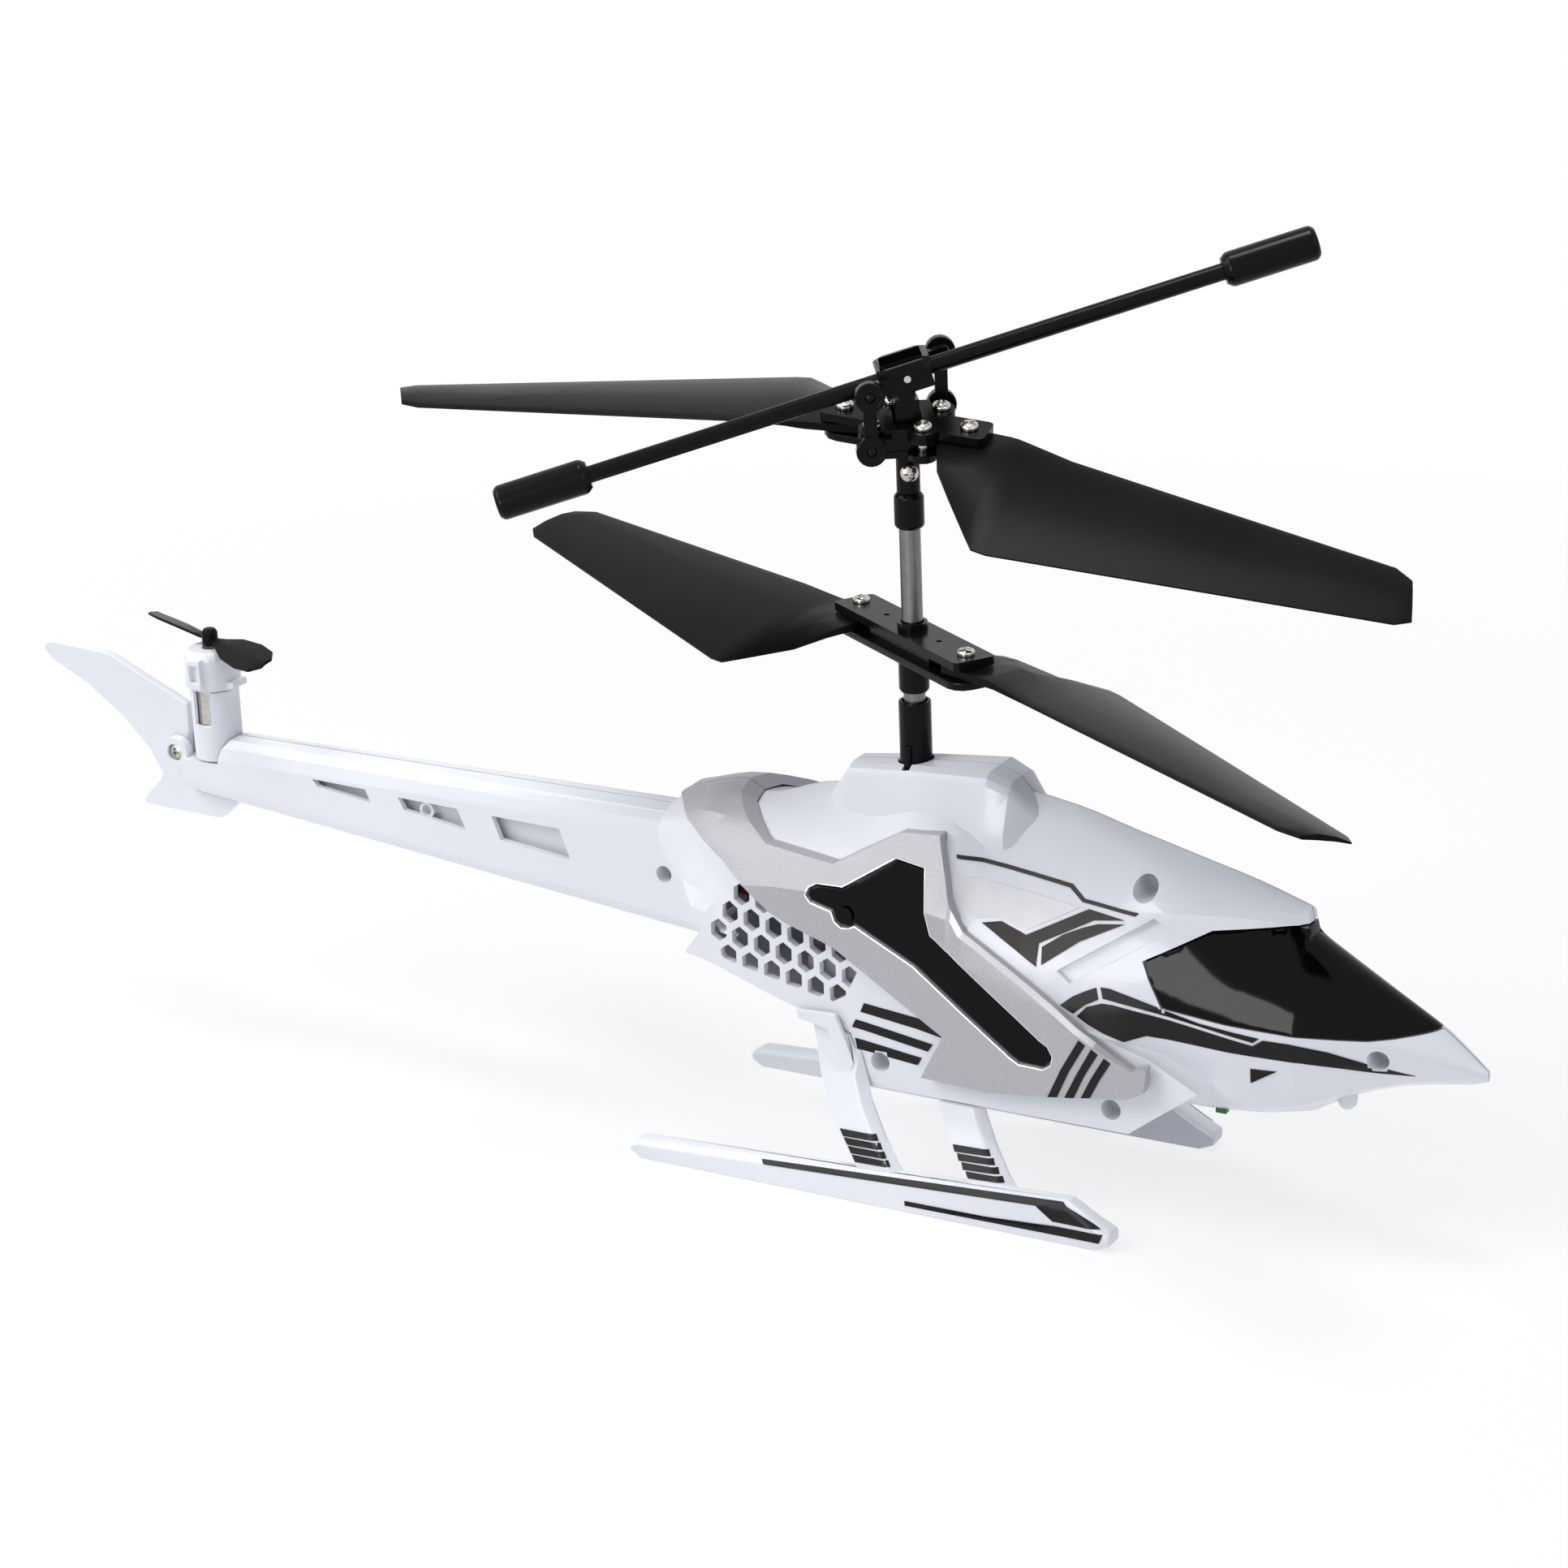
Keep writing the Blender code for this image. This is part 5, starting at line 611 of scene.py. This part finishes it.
def screw_work(length):
    """A pan head screw with a cross recess, in millimetres: head's top at Z 0, shank down."""
    dome = []
    for angle in DOME_ANGLES:
        lean = math.radians(angle)
        dome.append((HEAD_RADIUS * math.sin(lean), DOME_HEIGHT * (math.cos(lean) - 1)))
    rim = ((HEAD_RADIUS, -RIM_DROP), (HEAD_RADIUS, -HEAD_HEIGHT))
    shank = ((SHANK_RADIUS, -HEAD_HEIGHT), (SHANK_RADIUS, -length), (0, -length))
    return carved(turned((*dome, *rim, *shank)), cross_cutter())


def screw_frame(node):
    """Where a CAD screw's head is, which way it faces and how long the screw is."""
    work = welded(node)
    points = np.array([v.co for v in work.verts])
    work.free()
    centre = points.mean(0)
    values, vectors = np.linalg.eigh(np.cov((points - centre).T))
    axis = vectors[:, 2] if values[2] - values[1] > values[1] - values[0] else vectors[:, 0]
    along = (points - centre) @ axis
    across = np.linalg.norm(points - centre - np.outer(along, axis), axis=1)
    if along[across > across.max() * HEAD_EDGE].mean() < (along.min() + along.max()) / 2:
        axis, along = -axis, -along
    top = Vector(centre) + Vector(axis) * float(along.max())
    return top, Vector(axis), float(along.max() - along.min())


def place_screw(name, top, axis, length, body):
    work = screw_work(length / MM)
    turn = axis.to_track_quat("Z", "Y").to_matrix().to_4x4()
    place = Matrix.Translation(top) @ turn @ Matrix.Scale(MM, 4)
    bmesh.ops.transform(work, matrix=place, verts=work.verts)
    return add_piece(name, smooth_mesh(name, work), body, "steel")


def make_screws():
    tops = {}
    for node in SCREWS:
        top, axis, length = screw_frame(node)
        tops[node] = top, axis
        piece = place_screw(node + "_look", top, axis, length, frame["nodes"][node]["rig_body"])
        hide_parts(node)
    right, axis = tops["grip_screw_right"]
    left, _ = tops["grip_screw_left"]
    middle = (right + left) / 2 - axis * EAR_SCREW_DROP * MM
    reach = axis.cross(right - left) / 2 * EAR_SCREW_REACH
    for name, sign in (("right", 1), ("left", -1)):
        place_screw("ear_screw_" + name, middle + reach * sign, axis, EAR_SCREW_LENGTH * MM, "grip")


def skin_of(thing):
    """A piece's faces, to find points on."""
    mesh = thing.data
    points = [v.co.copy() for v in mesh.vertices]
    return BVHTree.FromPolygons(points, [tuple(f.vertices) for f in mesh.polygons])


def seen_from(side, x, z, skin):
    """The outermost point of a skin at a place in the side view, and its normal."""
    start = Vector((x, side * PROBE_START * MM, z))
    spot, normal, _, _ = skin.ray_cast(start, Vector((0, -side, 0)))
    return spot, normal


def gridded(outline):
    """A flat outline in the X Z plane, cut into small cells so that it can follow a curved skin."""
    work = bmesh.new()
    work.faces.new([work.verts.new((x * MM, 0, z * MM)) for x, z in outline])
    bmesh.ops.triangulate(work, faces=work.faces)
    step = PRINT_STEP * MM
    for axis, normal in ((0, Vector((1, 0, 0))), (2, Vector((0, 0, 1)))):
        spots = [v.co[axis] for v in work.verts]
        for i in range(math.ceil(min(spots) / step), math.floor(max(spots) / step) + 1):
            shape = work.verts[:] + work.edges[:] + work.faces[:]
            bmesh.ops.bisect_plane(work, geom=shape, dist=CUT_TOLERANCE,
                                   plane_co=normal * (i * step), plane_no=normal)
    return work


def print_marks(name, outlines, side, skin, material):
    """Thin printed marks that follow a skin, seen square from one side."""
    whole = bmesh.new()
    for outline in outlines:
        work = gridded(outline)
        missed = []
        for vert in work.verts:
            spot, normal = seen_from(side, vert.co.x, vert.co.z, skin)
            if spot is None:
                missed.append(vert)
            else:
                vert.co = spot + normal * PRINT_LIFT * MM
        bmesh.ops.delete(work, geom=missed, context="VERTS")
        bmesh.ops.recalc_face_normals(work, faces=work.faces)
        if sum(f.normal.y * side for f in work.faces) < 0:
            bmesh.ops.reverse_faces(work, faces=work.faces)
        rim = [e for e in work.edges if e.is_boundary]
        for new in bmesh.ops.extrude_edge_only(work, edges=rim)["geom"]:
            if isinstance(new, bmesh.types.BMVert):
                new.co.y -= side * PRINT_DEPTH * MM
        part = bpy.data.meshes.new("part")
        work.to_mesh(part)
        work.free()
        whole.from_mesh(part)
        bpy.data.meshes.remove(part)
    add_piece(name, smooth_mesh(name, whole), "airframe", material)


def make_prints():
    for side_name, side in SIDES:
        for name, outlines, node, material in PRINTS:
            skin = skin_of(DRESSED[side_name + "_" + node])
            print_marks(side_name + "_" + name, outlines, side, skin, material)


def cup_work(x, z, radius, side, skin):
    """A blind hole's lining: a short tube behind the wall, closed at its inner end."""
    centre = Vector((x, 0, z))
    rims = []
    for reach in (radius + CUP_WALL, radius + CUP_GAP):
        rim = []
        for t in even_turns():
            way = Vector((math.cos(t), 0, math.sin(t)))
            look = centre + way * (radius + CUP_PROBE)
            spot, _ = seen_from(side, look.x * MM, look.z * MM, skin)
            rim.append(centre + way * reach + Vector((0, spot.y / MM - side * CUP_SEAT, 0)))
        rims.append(rim)
    floor = min(abs(p.y) for p in rims[0]) - CUP_DEPTH
    work = bmesh.new()
    outer, inner = ([work.verts.new(p * MM) for p in rim] for rim in rims)
    deep = [work.verts.new(Vector((p.x, side * floor, p.z)) * MM) for p in rims[1]]
    back = [work.verts.new(Vector((p.x, side * (floor - CUP_WALL), p.z)) * MM) for p in rims[0]]
    for low, high in ((outer, inner), (inner, deep), (back, outer)):
        walls(work, low, high)
    work.faces.new(deep)
    work.faces.new(back)
    return work


def make_cups():
    for side_name, side in SIDES:
        shell = skin_of(DRESSED[side_name + "_shell"])
        boom = skin_of(DRESSED[side_name + "_boom"])
        spots = [(spot, shell) for spot in SHELL_CUPS] + [(BOOM_CUP, boom)]
        for i, ((x, z, radius), skin) in enumerate(spots):
            name = "%s_screw_well_%d" % (side_name, i + 1)
            mesh = smooth_mesh(name, cup_work(x, z, radius, side, skin))
            add_piece(name, mesh, "airframe", "white_plastic")


def make_slab(name, rings, material):
    """A piece of the body between two matching outlines, in millimetres."""
    work = bmesh.new()
    low, high = ([work.verts.new([v * MM for v in p]) for p in ring] for ring in rings)
    work.faces.new(low)
    work.faces.new(high[::-1])
    walls(work, low, high)
    add_piece(name, smooth_mesh(name, work), "airframe", material)


def make_divider():
    """A rib inside the body, behind the grille, in a darker grey that paints the shade inside."""
    rings = [[(x, y, z) for x, z in DIVIDER] for y in DIVIDER_PLACE]
    make_slab("body_rib", rings, "painted_shade_grey")


def ring_faces(work, rings):
    """Joins closed rings of points, each to the next and the last to the first."""
    loops = [[work.verts.new(p) for p in ring] for ring in rings]
    for low, high in zip(loops, loops[1:] + loops[:1]):
        walls(work, low, high)


def make_liners():
    """A thin wall and a post behind the slots of each half of the boom."""
    (x, z), (outer, inner), (low, high) = POST_PLACE, POST_RADII, POST_REACH
    section = ((outer, low), (outer, high), (inner, high), (inner, low))
    for side_name, side in SIDES:
        work = bmesh.new()
        for end, y in LINER_ENDS:
            for depth in (y, y - LINER_WALL):
                for height in LINER_HEIGHTS:
                    work.verts.new((end * MM, side * depth * MM, height * MM))
        bmesh.ops.convex_hull(work, input=work.verts)
        name = side_name + "_boom_liner"
        add_piece(name, smooth_mesh(name, work), "airframe", "white_plastic")
        rings = [[Vector((x + r * math.cos(t), side * y, z + r * math.sin(t))) * MM
                  for t in even_turns()] for r, y in section]
        work = bmesh.new()
        ring_faces(work, rings)
        name = side_name + "_boom_post"
        add_piece(name, smooth_mesh(name, work), "airframe", "white_plastic")


def make_belly():
    """The body's inner floor, below the grille."""
    (rear, start), (front, end) = BELLY_REAR, BELLY_FRONT
    plan = [*BELLY_PLAN, *((x, -y) for x, y in BELLY_PLAN[::-1])]
    rings = []
    for lift in (0, BELLY_WALL):
        heights = [start + (end - start) * (x - rear) / (front - rear) + lift for x, _ in plan]
        rings.append([(x, y, z) for (x, y), z in zip(plan, heights)])
    make_slab("body_floor", rings, "white_plastic")


def make_sockets():
    """The ball sockets in the links' eyes."""
    reach = BALL_RADIUS + SOCKET_GAP
    bore = EYE_BORE + SOCKET_SINK
    heights = [SOCKET_HALF * k / SOCKET_BANDS for k in range(-SOCKET_BANDS, SOCKET_BANDS + 1)]
    profile = [(math.sqrt(reach ** 2 - h ** 2), h) for h in heights]
    profile += [(bore, SOCKET_HALF), (bore, -SOCKET_HALF)]
    for node in ("link_right", "link_left"):
        work = welded(node)
        points = np.array([v.co for v in work.verts])
        work.free()
        centre = (points.min(0) + points.max(0)) / 2
        _, vectors = np.linalg.eigh(np.cov((points - centre).T))
        axis, long = Vector(vectors[:, 0]), Vector(vectors[:, 2])
        half = float(np.ptp((points - centre) @ vectors[:, 2])) / 2 - EYE_RADIUS * MM
        middle = Vector(centre)
        turn = axis.to_track_quat("Z", "Y").to_matrix().to_4x4()
        whole = bmesh.new()
        for sign in (1, -1):
            place = Matrix.Translation(middle + long * half * sign) @ turn @ Matrix.Scale(MM, 4)
            rings = [[place @ Vector((r * math.cos(t), r * math.sin(t), h))
                      for t in even_turns(SOCKET_STEPS)] for r, h in profile]
            ring_faces(whole, rings)
        name = node.replace("link", "link_sockets")
        add_piece(name, smooth_mesh(name, whole), frame["nodes"][node]["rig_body"], "black_plastic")


def make_camera():
    data = bpy.data.cameras.new("camera")
    data.sensor_width = SENSOR_WIDTH
    data.lens = SENSOR_WIDTH * FOCAL_PIXELS / PHOTO_SIZE
    data.clip_start = CLIP_START
    camera = bpy.data.objects.new("camera", data)
    turn = Matrix((CAMERA_RIGHT, CAMERA_UP, CAMERA_BACK)).transposed().to_4x4()
    camera.matrix_world = Matrix.Translation(CAMERA_PLACE) @ turn
    bpy.context.scene.collection.objects.link(camera)
    bpy.context.scene.camera = camera


def make_lamp(name, place, target, size, power):
    data = bpy.data.lights.new(name, "AREA")
    data.size = size
    data.energy = power
    lamp = bpy.data.objects.new(name, data)
    lamp.location = place
    aim = Vector(target) - Vector(place)
    lamp.rotation_euler = aim.to_track_quat("-Z", "Y").to_euler()
    bpy.context.scene.collection.objects.link(lamp)
    return lamp


def seen_rays(tree):
    """1 for what the camera sees, straight or by way of gloss or glass, and 0 for falling light."""
    path = tree.nodes.new("ShaderNodeLightPath")
    total = path.outputs["Is Camera Ray"]
    for kind in ("Is Glossy Ray", "Is Transmission Ray"):
        add = tree.nodes.new("ShaderNodeMath")
        add.use_clamp = True
        tree.links.new(total, add.inputs[0])
        tree.links.new(path.outputs[kind], add.inputs[1])
        total = add.outputs[0]
    return total


def make_floor():
    """A pale floor: it glows where it is looked at, keeps the shadow and fades out far off."""
    mesh = bpy.data.meshes.new("floor")
    reach = FLOOR_REACH
    corners = [(-reach, -reach, 0), (reach, -reach, 0), (reach, reach, 0), (-reach, reach, 0)]
    mesh.from_pydata(corners, [], [(0, 1, 2, 3)])
    floor = bpy.data.objects.new("floor", mesh)
    bpy.context.scene.collection.objects.link(floor)
    made = Nodes("floor_look")
    tone = made.ramp(made.noise(FLOOR_GRAIN), *FLOOR_COLOURS)
    made.link(tone, made.shader.inputs["Base Color"])
    made.set(Roughness=FLOOR_ROUGHNESS, Specular_IOR_Level=FLOOR_SPECULAR)
    glow = made.add("ShaderNodeEmission")
    clear = made.add("ShaderNodeBsdfTransparent")
    lit = made.add("ShaderNodeMixShader")
    made.link(made.spread(seen_rays(made.tree), 0.0, FLOOR_GLOW), lit.inputs["Fac"])
    made.link(made.shader.outputs["BSDF"], lit.inputs[1])
    made.link(glow.outputs["Emission"], lit.inputs[2])
    length = made.add("ShaderNodeVectorMath", operation="LENGTH")
    made.link(made.coords.outputs["Object"], length.inputs[0])
    fade = made.add("ShaderNodeMapRange", interpolation_type="SMOOTHSTEP")
    fade.inputs["From Min"].default_value = FLOOR_FADE[0]
    fade.inputs["From Max"].default_value = FLOOR_FADE[1]
    made.link(length.outputs["Value"], fade.inputs["Value"])
    whole = made.add("ShaderNodeMixShader")
    made.link(fade.outputs["Result"], whole.inputs["Fac"])
    made.link(lit.outputs["Shader"], whole.inputs[1])
    made.link(clear.outputs["BSDF"], whole.inputs[2])
    made.link(whole.outputs["Shader"], made.tree.nodes["Material Output"].inputs["Surface"])
    floor.data.materials.append(made.material)


def make_world():
    """A white backdrop that lights the object at a plain level."""
    world = bpy.data.worlds.new("studio")
    bpy.context.scene.world = world
    world.use_nodes = True
    tree = world.node_tree
    light = tree.nodes["Background"]
    light.inputs["Color"].default_value = (*LIGHT_TINT, 1)
    light.inputs["Strength"].default_value = LIGHT_LEVEL
    seen = tree.nodes.new("ShaderNodeBackground")
    seen.inputs["Color"].default_value = (1, 1, 1, 1)
    both = tree.nodes.new("ShaderNodeMixShader")
    tree.links.new(seen_rays(tree), both.inputs["Fac"])
    tree.links.new(light.outputs["Background"], both.inputs[1])
    tree.links.new(seen.outputs["Background"], both.inputs[2])
    tree.links.new(both.outputs["Shader"], tree.nodes["World Output"].inputs["Surface"])


def make_lamps():
    for name, (place, target, size, power) in LAMPS.items():
        lamp = make_lamp(name, place, target, size, power)
        lamp.visible_diffuse = name not in REFLECTED_ONLY


bpy.context.scene.view_settings.view_transform = "Standard"
make_camera()
make_world()
make_floor()
make_lamps()
DRESSED = {}
dress_frame()
for node, width in ROUNDING.items():
    dress_node(node, width)
for node in SMOOTH_ONLY:
    dress_node(node, 0)
make_screws()
make_prints()
make_cups()
make_divider()
make_liners()
make_belly()
make_sockets()
